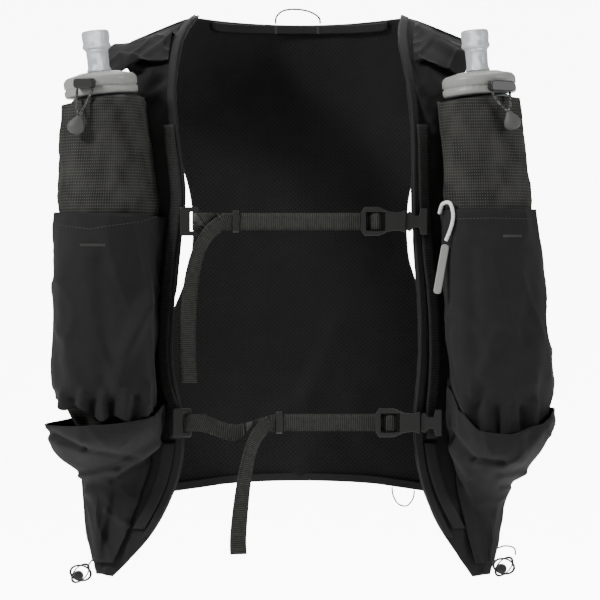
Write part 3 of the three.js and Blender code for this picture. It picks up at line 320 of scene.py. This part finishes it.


# Routes are in mm.
cordForms = {
    "drawcordLeft": {
        "node": "drawcord_left", "diameter": 1.9 * mm, "end": "object", "lay": "hanging",
        "carries": ["pullLeft"],
        "route": [(-155.3, -116.4, -58.1), (-155.3, -119.4, -67), (-154.9, -121.8, -73.5),
                  (-153.3, -122.4, -76.8), (-151.6, -121.9, -74), (-147.5, -120.4, -66),
                  (-144.2, -119.2, -58.1)]},
    "tipCordLeft": {
        "node": "keeper_cord_left", "diameter": 1.2 * mm,
        "route": [(-143.6, -60.4, -387), (-147, -60, -389.4), (-150, -57.4, -392.6),
                  (-151.6, -55, -395.2)]},
    "drawcordRight": {
        "node": "drawcord_right", "diameter": 1.9 * mm, "end": "object", "lay": "hanging",
        "carries": ["pullRight"],
        "route": [(133.2, -124.2, -60.6), (136.2, -124.4, -65.6), (141.3, -124.6, -71.3),
                  (144.4, -124.6, -73.4), (145.8, -123.6, -70.6), (146, -121, -66),
                  (146, -118.6, -60.2)]},
    "tipCordRight": {
        "node": "keeper_cord_right", "diameter": 1.2 * mm,
        "route": [(139.8, -66, -381.8), (146, -68.4, -379.8), (152.2, -69, -381.4),
                  (153.4, -68.8, -386.2)]},
    "zipPullLoop": {
        "node": "zip_pull_loop", "diameter": 2.6 * mm, "end": "fitting", "lay": "hanging",
        "carries": ["zipPuller"], "material": paleCord, "slot": "pale_cord",
        "route": [(97.6, -104.6, -144), (99.6, -112.4, -138), (104.2, -119.4, -137.6),
                  (106.4, -122, -145.6), (105.4, -121.4, -153), (103, -119.6, -160),
                  (101.7, -117.6, -163.4)]},
    "hangLoop": {
        "node": "hang_loop", "diameter": 1.4 * mm, "end": "object", "lay": "loose", "carries": [],
        "route": [(-18.6, 96, 5.4), (-18, 96, 10.4), (-13, 96, 15), (-2, 96, 16.2), (8.4, 96, 14),
                  (14.6, 96, 9.6), (15.4, 96, 5.4)]},
    "hemCordLoop": {
        "node": "hem_cord_loop", "diameter": 1.2 * mm, "end": "object", "lay": "loose", "carries": [],
        "route": [(70, 94.4, -347.4), (70.8, 93.8, -353.5), (75, 92, -360.2), (81, 89.6, -361.2),
                  (85.6, 87.6, -355.8), (86.8, 87.1, -349.5)]},
}
cords = {name: cordPiece(name, form) for name, form in cordForms.items()}
print("cords ready", {name: round(cord[2], 4) for name, cord in cords.items()})


# Hard pieces: copies of the solids with softened edges
def hardPiece(name, node, material, softening):
    bm = merged(node)
    bmesh.ops.dissolve_limit(bm, angle_limit=math.radians(3), verts=bm.verts, edges=bm.edges)
    sharp = [e for e in bm.edges
             if len(e.link_faces) == 2 and e.calc_face_angle(0) > math.radians(40)]
    bmesh.ops.bevel(bm, geom=sharp, offset=softening, offset_type="OFFSET", affect="EDGES",
                    segments=2, profile=0.5, material=-1, clamp_overlap=True)
    finishPiece(name, bm, material, [node], smooth=False)


# Tip keeper: a slotted lock in the middle of two elastic rings. Each ring's row says how far it
# reaches across and up from its middle, its turn in degrees, and how far forward it lies.
keeperRings = [(7.8 * mm, 4.4 * mm, 48, 1.0 * mm), (7.4 * mm, 5.4 * mm, -12, -1.0 * mm)]
keeperLock = {"front": 3.3 * mm, "back": 3.9 * mm, "depth": 4.4 * mm, "edge": 0.5 * mm,
              "place": (-1.6 * mm, -1.8 * mm, 0)}
elasticRadius = 0.95 * mm


def cordRing(bm, wide, high, turn, forward):
    before = set(bm.verts)
    section = bmesh.ops.create_circle(bm, cap_ends=False, radius=elasticRadius, segments=10)["verts"]
    upright = Matrix.Rotation(math.radians(90), 3, "X")
    bmesh.ops.rotate(bm, verts=section, cent=(0, 0, 0), matrix=upright)
    bmesh.ops.translate(bm, verts=section, vec=(wide, 0, 0))
    edges = list({e for v in section for e in v.link_edges})
    bmesh.ops.spin(bm, geom=section + edges, cent=(0, 0, 0), axis=(0, 0, 1), angle=2 * math.pi,
                   steps=48, use_merge=True)
    ring = [v for v in bm.verts if v not in before]
    place = Matrix.Translation((0, 0, forward)) @ Matrix.Rotation(math.radians(turn), 4, "Z")
    bmesh.ops.transform(bm, matrix=place @ Matrix.Diagonal((1, high / wide, 1, 1)), verts=ring)


def tipKeeper(side):
    low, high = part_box("cord_keeper_" + side)
    bm = bmesh.new()
    for row in keeperRings:
        cordRing(bm, *row)
    lock = bmesh.ops.create_cone(bm, cap_ends=True, segments=32, radius1=keeperLock["back"],
                                 radius2=keeperLock["front"], depth=keeperLock["depth"])
    rims = list({e for v in lock["verts"] for e in v.link_edges if e.calc_face_angle(0) > 1})
    bmesh.ops.translate(bm, verts=lock["verts"], vec=keeperLock["place"])
    bmesh.ops.bevel(bm, geom=rims, offset=keeperLock["edge"], offset_type="OFFSET", affect="EDGES",
                    segments=3, profile=0.5, material=-1)
    place = Matrix.Translation((low + high) / 2) @ Matrix.Rotation(math.radians(90), 4, "X")
    bmesh.ops.transform(bm, matrix=place, verts=bm.verts)
    finishPiece("tipKeeper" + side.capitalize(), bm, moulded,
                ["cord_keeper_" + side])


for level in ("upper", "lower"):
    for part in ("slider", "buckle", "buckle_hook", "keeper"):
        hardPiece(level + part.title().replace("_", ""), level + "_" + part, moulded, 0.4 * mm)
for side in ("left", "right"):
    hardPiece("toggle" + side.capitalize(), "cord_toggle_" + side, moulded, 0.8 * mm)
    tipKeeper(side)
hardPiece("zipPuller", "zip_puller", palePlastic, 0.7 * mm)
print("hard pieces ready")


# Caps, valves and pulls are turned round their own axis. A profile's rows are shares of the
# piece's radius and height, from its bottom up.
capForm = {
    "radius": 26 * mm, "height": 17 * mm, "ribs": 60, "ribDepth": 0.5 * mm,
    "profile": [(0, 0), (0.9, 0), (0.955, 0.02), (0.985, 0.07), (1, 0.14), (1, 0.3), (0.965, 0.33),
                (0.965, 0.38), (1, 0.41), (1, 0.64), (0.985, 0.7), (0.95, 0.78), (0.9, 0.84),
                (0.62, 0.94), (0.58, 0.97), (0.42, 0.99), (0, 1)]}
valveForm = {
    "radius": 10 * mm, "height": 29 * mm,
    "profile": [(0, 0), (0.84, 0), (0.86, 0.02), (0.84, 0.05), (0.77, 0.09), (0.77, 0.3), (0.79, 0.5),
                (0.86, 0.535), (0.97, 0.565), (1, 0.6), (1, 0.64), (0.95, 0.68), (0.94, 0.73),
                (0.98, 0.8), (0.98, 0.93), (0.93, 0.985), (0.78, 1), (0.5, 0.985), (0.3, 0.96),
                (0, 0.955)]}
pullForm = {
    "radius": 6.1 * mm, "height": 13.2 * mm, "flat": 0.6,
    "profile": [(0, 0), (0.45, 0.02), (0.8, 0.12), (0.98, 0.26), (1, 0.38), (0.9, 0.54), (0.66, 0.72),
                (0.42, 0.86), (0.34, 0.96), (0.2, 1), (0, 1)]}


def turnedPiece(name, node, form, base, lean, material):
    radius, height, ribs = form["radius"], form["height"], form.get("ribs", 0)
    bm = bmesh.new()
    verts = [bm.verts.new((r * radius, 0, h * height)) for r, h in form["profile"]]
    edges = [bm.edges.new(pair) for pair in zip(verts, verts[1:])]
    bmesh.ops.spin(bm, geom=verts + edges, cent=(0, 0, 0), axis=(0, 0, 1), angle=2 * math.pi,
                   steps=96, use_merge=True)
    bmesh.ops.remove_doubles(bm, verts=bm.verts, dist=0.01 * mm)
    if ribs:
        for vert in bm.verts:
            reach = math.hypot(vert.co.x, vert.co.y)
            if reach > radius * 0.93 and 0.1 * height < vert.co.z < 0.7 * height:
                turn = math.atan2(vert.co.y, vert.co.x)
                vert.co.xy *= 1 - form["ribDepth"] / radius * (0.5 + 0.5 * math.cos(ribs * turn))
    place = (Matrix.Translation(base) @ Matrix.Rotation(math.radians(lean), 4, "Y")
             @ Matrix.Diagonal((1, form.get("flat", 1.0), 1, 1)))
    bmesh.ops.transform(bm, matrix=place, verts=bm.verts)
    finishPiece(name, bm, material, [node])


# Leans are in degrees, and a pull's place is its lower end in mm
flaskEnds = {"left": {"capLean": -6, "pullPlace": (-157.4, -122.2, -89.5), "pullLean": 18.6},
             "right": {"capLean": -5, "pullPlace": (149.1, -124.5, -86.5), "pullLean": -19.6}}
valveRise = 0.35 * mm
for side, ends in flaskEnds.items():
    low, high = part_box("flask_cap_" + side)
    tilt = math.radians(ends["capLean"])
    axis = Vector((math.sin(tilt), 0, math.cos(tilt)))
    base = (low + high) / 2 - axis * capForm["height"] / 2
    turnedPiece("cap" + side.capitalize(), "flask_cap_" + side, capForm, base, ends["capLean"],
                capPlastic)
    turnedPiece("biteValve" + side.capitalize(), "bite_valve_" + side, valveForm,
                base + axis * (capForm["height"] + valveRise), ends["capLean"], silicone)
    turnedPiece("pull" + side.capitalize(), "cord_pull_" + side, pullForm,
                Vector(ends["pullPlace"]) * mm, ends["pullLean"], rubber)
print("caps, valves and pulls ready")

for name, form in cordForms.items():
    if "end" in form:
        piece, start, length = cords[name]
        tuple(start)
        [bpy.data.objects[other] for other in form["carries"]]


# Cloth: copies of the solids, subdivided and moved outwards by folds, wrinkles and noise
def creaseRims(bm, angle):
    layer = bm.edges.layers.float.get("crease_edge") or bm.edges.layers.float.new("crease_edge")
    for edge in bm.edges:
        if len(edge.link_faces) == 2 and edge.calc_face_angle(0) > angle:
            edge[layer] = 1.0


def rounded(bm, levels):
    mesh = bpy.data.meshes.new("work")
    bm.to_mesh(mesh)
    bm.free()
    work = bpy.data.objects.new("work", mesh)
    bpy.context.scene.collection.objects.link(work)
    smoother = work.modifiers.new("smoother", "SUBSURF")
    smoother.levels = levels
    smoother.render_levels = levels
    ready = work.evaluated_get(bpy.context.evaluated_depsgraph_get())
    fine = bpy.data.meshes.new_from_object(ready)
    out = bmesh.new()
    out.from_mesh(fine)
    bpy.data.objects.remove(work)
    bpy.data.meshes.remove(mesh)
    bpy.data.meshes.remove(fine)
    return out


def eased(value, low, high):
    share = min(max((value - low) / (high - low), 0), 1)
    return share * share * (3 - 2 * share)


def tableValue(table, x):
    if x <= table[0][0]:
        return table[0][1]
    for (x0, y0), (x1, y1) in zip(table, table[1:]):
        if x <= x1:
            return y0 + (y1 - y0) * eased(x, x0, x1)
    return table[-1][1]


# A fold is a ridge along a line of the picture, with a bell-shaped section
def ridge(place, fold):
    x0, y0, x1, y1, width, height = fold
    dx, dy = x1 - x0, y1 - y0
    along = min(max(((place[0] - x0) * dx + (place[1] - y0) * dy) / (dx * dx + dy * dy), 0), 1)
    away = math.hypot(place[0] - x0 - along * dx, place[1] - y0 - along * dy) / width
    return height * math.exp(-away * away) if away < 3 else 0.0


# Wrinkles are narrow ridges where a stretched noise passes through zero
def wrinkled(co, style):
    across, along, slope = style["wrinkleGrain"]
    place = Vector(((co.x + slope * co.z) / across, co.y / across, co.z / along)) * mmPerMetre
    cut = noise.noise(place + Vector((style["seed"], 0, style["seed"])))
    return max(0.0, 1 - 3 * abs(cut)) ** 2 * style["wrinkle"]


def creased(co, facing, style):
    lift = wrinkled(co, style) * (1 if facing > -0.5 else 0.5)
    if facing > 0:
        place = photoPlace(co)
        folds = sum(ridge(place, fold) for fold in style["folds"])
        lift += style["foldGain"] * folds * min(facing * 1.6, 1)
    big = noise.noise(co * (mmPerMetre / style["bigScale"]) + Vector((style["seed"], 0, 0)))
    small = noise.noise(co * (mmPerMetre / style["smallScale"]) + Vector((0, style["seed"], 0)))
    lift += big * style["big"] + small * style["small"]
    if "fades" in style:
        lift *= 1 - eased(photoPlace(co)[1], *style["fades"])
    return (lift + style.get("stand", 0.0)) * mm


def layUv(bm, flatten):
    layer = bm.loops.layers.uv.new("cloth")
    for face in bm.faces:
        for loop in face.loops:
            loop[layer].uv = flatten(loop.vert.co)


def softPiece(name, node, material, style):
    bm = merged(node)
    bmesh.ops.join_triangles(bm, faces=bm.faces, angle_face_threshold=1.2, angle_shape_threshold=1.4)
    creaseRims(bm, math.radians(55))
    bm = rounded(bm, style["levels"])
    for vert in bm.verts:
        if "shape" in style:
            vert.co += style["shape"](vert.co)
        way = style["outward"](vert.co)
        vert.co += way * creased(vert.co, -way.y * style["seen"], style)
    layUv(bm, style["flatten"])
    return finishPiece(name, bm, material, [node])


# Ways to say where a piece's outside is, and how it unrolls into metres of cloth
def around(axisTop, axisBottom, radius):
    def centre(co):
        share = (co.z - axisTop.z) / (axisBottom.z - axisTop.z)
        return axisTop.lerp(axisBottom, share)

    def outward(co):
        away = co - centre(co)
        away.z = 0
        return away.normalized()

    def flatten(co):
        away = co - centre(co)
        return math.atan2(away.x, -away.y) * radius, co.z
    return {"outward": outward, "flatten": flatten}


def facingWay(direction, across):
    way = Vector(direction).normalized()
    line = Vector(across).normalized()
    return {"outward": lambda co: way.copy(), "flatten": lambda co: (co.dot(line), co.z)}


# Webbing unrolls along lines of the picture, so that its ribs lie across it
def alongLines(lines):
    spans = []
    for line in lines:
        run = 0.0
        for (x0, y0), (x1, y1) in zip(line, line[1:]):
            spans.append((x0, y0, x1 - x0, y1 - y0, run))
            run += math.hypot(x1 - x0, y1 - y0)

    def flatten(co):
        x, y = photoPlace(co)
        best = None
        for x0, y0, dx, dy, run in spans:
            size = math.hypot(dx, dy)
            share = min(max(((x - x0) * dx + (y - y0) * dy) / size ** 2, 0), 1)
            away = math.hypot(x - x0 - share * dx, y - y0 - share * dy)
            if best is None or away < best[0]:
                best = (away, run + share * size, ((x - x0) * dy - (y - y0) * dx) / size)
        return best[1] * pixel, best[2] * pixel
    return flatten


# Fold tables, one row a fold: from and to in picture places, half width in pixels, height in mm
backFolds = [
    (306, 400, 342, 330, 12, 2.4), (342, 330, 398, 262, 14, 1.8), (232, 120, 262, 300, 20, 1.5),
    (372, 110, 352, 260, 18, -1.4), (230, 300, 290, 360, 13, 1.6), (250, 440, 306, 400, 12, 1.8),
    (360, 400, 300, 470, 12, 1.4), (205, 60, 240, 130, 12, 1.2), (330, 380, 350, 450, 12, -1.4)]
sideFolds = {
    "left": {
        "sleeve": [
            (142, 98, 148, 127, 5, 1.4), (148, 127, 163, 154, 5, 1.4), (163, 154, 165, 170, 5, 1.2),
            (90, 130, 84, 205, 9, -0.9), (112, 112, 120, 200, 10, 0.9)],
        "pocket": [
            (170, 242, 122, 350, 7, 2.0), (60, 262, 74, 400, 9, 1.3), (100, 262, 108, 410, 10, -1.2),
            (60, 330, 110, 372, 8, 1.1), (150, 300, 112, 392, 7, 1.2), (66, 394, 62, 425, 4, 1.7),
            (84, 392, 82, 428, 4, 1.6), (103, 392, 102, 428, 4, 1.7), (124, 392, 122, 424, 4, 1.6),
            (146, 386, 143, 414, 4, 1.5), (75, 400, 73, 430, 3, -1.8), (94, 402, 93, 430, 3, -2.0),
            (113, 402, 112, 428, 3, -1.9), (135, 396, 133, 420, 3, -1.8)],
        "pouch": [
            (41, 430, 83, 448, 3, -2.4), (83, 448, 135, 458, 3, -2.2), (79, 478, 115, 471, 4, 2.8),
            (115, 471, 166, 440, 4, 2.8), (112, 480, 160, 452, 3, -2.0), (92, 492, 100, 556, 5, 1.8),
            (106, 511, 143, 535, 2.5, 1.8), (60, 446, 90, 492, 5, 1.8), (144, 462, 124, 520, 5, 1.6),
            (118, 484, 108, 540, 5, -1.4)],
        "front": [
            (112, 44, 150, 22, 5, 2.6), (128, 66, 172, 36, 4, 2.4), (140, 56, 180, 26, 4, -2.0),
            (150, 96, 172, 84, 5, 1.8), (120, 58, 160, 72, 4, 2.0), (104, 34, 140, 30, 4, 1.6),
            (176, 300, 170, 420, 6, 0.8)]},
    "right": {
        "sleeve": [
            (455, 128, 448, 196, 8, 1.1), (530, 108, 536, 200, 8, 1.0), (492, 130, 498, 196, 9, -0.8)],
        "pocket": [
            (548, 240, 530, 380, 9, 1.3), (470, 252, 480, 400, 9, -1.1), (500, 330, 470, 402, 7, 1.3),
            (520, 262, 512, 330, 8, 0.9), (466, 396, 468, 420, 4, 1.3), (486, 404, 488, 430, 4, 1.3),
            (510, 406, 510, 432, 4, 1.2), (532, 402, 530, 424, 4, 1.3), (476, 404, 478, 428, 3, -1.4),
            (498, 408, 499, 434, 3, -1.4), (521, 408, 520, 430, 3, -1.4)],
        "pouch": [
            (448, 430, 473, 459, 3, -2.4), (473, 459, 504, 462, 3, -2.4), (450, 446, 470, 476, 4, 2.2),
            (498, 478, 526, 474, 3, 2.2), (500, 486, 524, 482, 2.5, -1.8), (470, 488, 500, 545, 5, 1.8),
            (520, 468, 505, 540, 6, -1.3), (550, 420, 520, 462, 5, 1.5), (486, 472, 520, 462, 5, 1.6)],
        "front": [
            (420, 30, 462, 58, 5, 2.4), (416, 58, 446, 90, 5, 2.2), (436, 30, 474, 44, 4, -1.8),
            (410, 80, 436, 130, 5, 1.6), (430, 300, 438, 410, 6, 0.8)]},
}

# Styles: "big" and "small" noise, "wrinkle" and "stand" are heights in mm, and the scales are
# their sizes in mm. "wrinkleGrain" has the size across, the size along, and the slope. "fades"
# are the picture rows between which all of it dies away. "seen" is -1 where the inside is seen.
calm = {"levels": 2, "seen": 1, "seed": 1.0, "big": 0.5, "bigScale": 42, "small": 0.16,
        "smallScale": 9, "wrinkle": 0.0, "wrinkleGrain": (20, 60, 0.0), "folds": [], "foldGain": 1.7}
lively = {**calm, "levels": 3, "big": 1.8, "bigScale": 34, "small": 0.35, "smallScale": 8,
          "wrinkle": 1.8, "wrinkleGrain": (24, 70, 0.4)}

# The back panel bows round the trunk, so it unrolls round an upright line inside it
backRadius = 0.13
backPiece = softPiece("backPanel", "back_panel", airMesh, {
    **calm, "levels": 3, "seen": -1, "big": 1.2, "foldGain": -1.8, "folds": backFolds,
    "outward": lambda co: Vector((co.x * 4, co.y + 0.02, 0)).normalized(),
    "flatten": lambda co: (math.atan2(co.x, co.y + 0.03) * backRadius, co.z)})
print("back panel ready")


# Bigger moves than folds make. How far the left pocket's gathered hem is drawn up, and how far
# the right pouch's lip rises above the flat cut: picture columns, and pixels upwards.
hemRise = [(52, 26), (64, 15), (75, 20), (89, 13), (101, 5), (114, 11), (127, 4), (146, 9),
           (166, 24)]
lipRise = [(446, 46), (460, 36), (481, 24), (508, 24), (538, 34), (556, 44)]


def drawnHem(outward):
    def shape(co):
        column, row = photoPlace(co)
        share = eased(row, 380, 425)
        rise = Vector((0, 0, tableValue(hemRise, column) * pixel * share))
        return rise - outward(co) * 3 * mm * share
    return shape


def raisedLip(outward):
    def shape(co):
        column, row = photoPlace(co)
        share = 1 - eased(row, 440, 505)
        rise = Vector((0, 0, tableValue(lipRise, column) * pixel * share))
        return rise - outward(co) * 1.5 * mm * share
    return shape


# The right pocket's end goes down into its pouch
def tuckedEnd(outward):
    return lambda co: outward(co) * -9 * mm * eased(photoPlace(co)[1], 375, 430)


# Sleeves and flasks keep clear of the pocket over them, and of its end
def underPocket(outward, endTuck):
    def shape(co):
        row = photoPlace(co)[1]
        return outward(co) * mm * (-1.8 * eased(row, 212, 232) - endTuck * eased(row, 370, 425))
    return shape


# The rear edge of each side panel is sewn in under the back panel
def sewnIn(sign):
    return lambda co: Vector((-sign * 0.5, 0.85, 0)) * 3.2 * mm * eased(co.y, 0.05, 0.07)


# Sleeve, pocket and flask go round a line that leans inwards at the top, by shift
wrapRadius = 0.032


def roundFlask(side, shift):
    low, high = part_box("flask_" + side)
    middle = (low + high) / 2
    crown = Vector((middle.x - shift, middle.y, high.z))
    tip = Vector((middle.x + shift / 2, middle.y, low.z))
    return around(crown, tip, wrapRadius)


sleeveStyle = {**lively, "fades": (196, 222), "big": 1.2}
pocketStyle = {**lively, "stand": 0.6, "foldGain": 2.4}
pouchStyle = {**lively, "foldGain": 1.8}
frontStyle = {**calm, "levels": 3, "big": 0.7, "wrinkle": 0.8, "wrinkleGrain": (14, 50, -0.5)}
patchStyle = {**lively, "seed": 9.0, "big": 1.4, "wrinkle": 1.7, "wrinkleGrain": (18, 44, -0.8),
              "outward": lambda co: Vector((0, -0.6, 0.8)), "flatten": lambda co: (co.x, co.z - co.y)}
sidePanelStyle = {**calm, "levels": 3, "big": 0.8, "flatten": lambda co: (co.y, co.z)}
flaskStyle = {**calm, "fades": (100, 130), "big": 0.2}
trimStyle = {**calm, "big": 0.0, "small": 0.05}
wraps = {"left": roundFlask("left", -6 * mm), "right": roundFlask("right", 9 * mm)}
pocketShapes = {"left": drawnHem(wraps["left"]["outward"]),
                "right": tuckedEnd(wraps["right"]["outward"])}
endTucks = {"left": 2.5, "right": 8.5}
pockets = {}

for side, sign in (("left", -1), ("right", 1)):
    name = side.capitalize()
    folds = sideFolds[side]
    wrap = wraps[side]
    under = underPocket(wrap["outward"], endTucks[side])
    pouchWrap = around(Vector((sign * 0.138, -0.088, -0.29)), Vector((sign * 0.14, -0.012, -0.39)),
                       wrapRadius)
    pouchShape = {"shape": raisedLip(pouchWrap["outward"])} if side == "right" else {}
    panel = facingWay((sign * 0.55, -1, 0), (sign, 0.55, 0))
    sleeve = softPiece("sleeve" + name, "flask_sleeve_" + side, sleeveMesh,
                       {**sleeveStyle, **wrap, "shape": under, "folds": folds["sleeve"]})
    pockets[side] = softPiece("pocket" + name, "stretch_pocket_" + side, stretchKnit,
                              {**pocketStyle, **wrap, "seed": 4.0 * sign,
                                                 "shape": pocketShapes[side], "folds": folds["pocket"]})
    pouch = softPiece("pouch" + name, "lower_pouch_" + side, stretchKnit,
                      {**pouchStyle, **pouchWrap, **pouchShape, "seed": 7.0 * sign,
                       "folds": folds["pouch"]})
    frontPiece = softPiece("front" + name, "front_panel_" + side, stretchKnit,
                           {**frontStyle, **panel, "folds": folds["front"]})
    sidePiece = softPiece("sidePanel" + name, "side_panel_" + side, stretchKnit,
                          {**sidePanelStyle, "shape": sewnIn(sign),
                           "outward": lambda co, out=sign: Vector((out, 0, 0))})
    patch = softPiece("shoulderPouch" + name, "shoulder_pouch_" + side, stretchKnit,
                      {**patchStyle, "folds": folds["front"]})
    trim = {**trimStyle, **panel}
    trims = [
        softPiece("edgeBinding" + name, "edge_binding_" + side, boundTape, trim),
        softPiece("zipWelt" + name, "zip_welt_" + side, boundTape, trim),
        softPiece("daisyChain" + name, "daisy_chain_" + side, daisyTape,
                  {**trim, "flatten": lambda co: (co.z, co.x)})]
    softPiece("flaskBody" + name, "flask_" + side, flaskFilm,
              {**flaskStyle, **wrap, "shape": under})
    print(side, "cloth ready")

bandRadius = 0.1
bandStyle = {**trimStyle, "outward": lambda co: Vector((0, -1, 0)),
             "flatten": lambda co: (math.atan2(co.x, co.y + 0.02) * bandRadius, co.z)}
collarPiece = softPiece("collarBinding", "collar_binding", boundTape, bandStyle)
hemPiece = softPiece("hemBinding", "hem_binding", boundTape, bandStyle)

# The picture lines along which the chest straps, their tails and the slack layer run
strapLines = {
    "upper": [[(400, 219), (240, 219), (224, 222), (209, 232), (199, 250), (192, 280), (189, 320),
               (188, 384)]],
    "lower": [[(430, 424), (270, 424), (254, 436), (246, 455), (241, 490), (237, 554)],
              [(180, 416), (200, 424), (215, 430), (245, 428)]]}
strapStyle = {**calm, "big": 0.0, "small": 0.0, "outward": lambda co: Vector((0, -1, 0))}
webbings = {}
for level, lines in strapLines.items():
    webbings[level] = softPiece("webbing" + level.capitalize(), level + "_chest_strap", webbingCloth,
                                {**strapStyle, "flatten": alongLines(lines)})
print("bindings and webbing ready")


# Stitches, laid on the cloth where rays from the camera along picture lines meet it
def stitchRow(name, piece, lines, pitch, size):
    piece.data.calc_loop_triangles()
    surface = BVHTree.FromPolygons([v.co for v in piece.data.vertices],
                                   [tuple(t.vertices) for t in piece.data.loop_triangles])
    bm = bmesh.new()
    for line in lines:
        for (x0, y0), (x1, y1) in zip(line, line[1:]):
            count = max(int(math.hypot(x1 - x0, y1 - y0) / pitch), 1)
            slope = math.atan2(y1 - y0, x1 - x0)
            for k in range(count):
                x = x0 + (x1 - x0) * (k + 0.5) / count
                y = y0 + (y1 - y0) * (k + 0.5) / count
                ray = Vector(((x - pictureMiddle) / focalPixels, 1, (pictureMiddle - y) / focalPixels))
                hit, normal, _, _ = surface.ray_cast(cameraPlace, ray.normalized())
                if hit is None:
                    continue
                seat = normal.to_track_quat("Z", "Y").to_matrix().to_4x4()
                along = seat.inverted() @ Vector((math.cos(slope), 0, -math.sin(slope)))
                spin = Matrix.Rotation(math.atan2(along.y, along.x), 4, "Z")
                place = Matrix.Translation(hit) @ seat @ spin @ Matrix.Diagonal((*size, 1))
                bmesh.ops.create_icosphere(bm, subdivisions=2, radius=0.5, matrix=place)
    finishPiece(name, bm, thread, [])


# Length, width and height of one stitch; then each row's lines and its pitch in picture pixels
hemStitch = (1.9 * mm, 0.42 * mm, 0.34 * mm)
tackStitch = (0.5 * mm, 2.2 * mm, 0.5 * mm)
stitchTable = [
    ("stitchesPocketLeft", pockets["left"],
     [[(57, 225), (89, 229), (115, 225), (140, 222), (161, 215)]], 3.4, hemStitch),
    ("tackPocketLeft", pockets["left"], [[(80, 245), (105, 245)]], 1.0, tackStitch),
    ("stitchesPocketRight", pockets["right"], [[(448, 219), (490, 218), (536, 219)]], 3.4, hemStitch),
    ("tackPocketRight", pockets["right"], [[(503, 236), (522, 236)]], 1.0, tackStitch),
    ("tacksCollar", collarPiece, [[(276, 25), (276, 34)], [(318, 25), (318, 34)]], 1.0, tackStitch),
    ("stitchesTailUpper", webbings["upper"], [[(184, 359), (194, 359)], [(184, 377), (194, 377)]],
     1.6, hemStitch),
    ("stitchesTailLower", webbings["lower"], [[(233, 534), (243, 534)], [(233, 549), (243, 549)]],
     1.6, hemStitch)]
for row in stitchTable:
    stitchRow(*row)
print("stitches ready")


# Stage: a pale floor, a lit backdrop and soft lights that point at the vest
vestMiddle = Vector((0, 0, -0.2))


def stagePlane(name, size, place, turn, material):
    bm = bmesh.new()
    bmesh.ops.create_grid(bm, x_segments=1, y_segments=1, size=size)
    mesh = bpy.data.meshes.new(name)
    bm.to_mesh(mesh)
    bm.free()
    plane = bpy.data.objects.new(name, mesh)
    plane.location = place
    plane.rotation_euler = turn
    mesh.materials.append(material)
    bpy.context.scene.collection.objects.link(plane)


def softLight(name, place, size, power):
    data = bpy.data.lights.new(name, "AREA")
    data.energy = power
    data.size = size
    lamp = bpy.data.objects.new(name, data)
    lamp.location = place
    lamp.rotation_euler = (vestMiddle - Vector(place)).to_track_quat("-Z", "Y").to_euler()
    bpy.context.scene.collection.objects.link(lamp)


# Matt white paper, plain on the floor and lit from within behind the vest
paper = newMaterial("white paper", "#ffffff", 0.9)[0]
litPaper, litTree, litShader = newMaterial("lit white paper", "#ffffff", 0.9)
litShader.inputs["Emission Color"].default_value = (1, 1, 1, 1)
litShader.inputs["Emission Strength"].default_value = 8
stagePlane("floor", 6, (0, 3, -0.75), (0, 0, 0), paper)
stagePlane("backdrop", 1.1, (0, 3.0, 0.2), (math.radians(90), 0, 0), litPaper)
softLight("keyLight", (-1.9, -1.3, 1.3), 0.6, 80)
softLight("fillLight", (2.2, -0.9, 0.5), 0.8, 30)
softLight("topLight", (0, 0.6, 2.0), 1.6, 40)
world = bpy.data.worlds.new("studio")
world.use_nodes = True
background = world.node_tree.nodes["Background"]
background.inputs["Color"].default_value = (1, 1, 1, 1)
background.inputs["Strength"].default_value = 0.2
bpy.context.scene.world = world
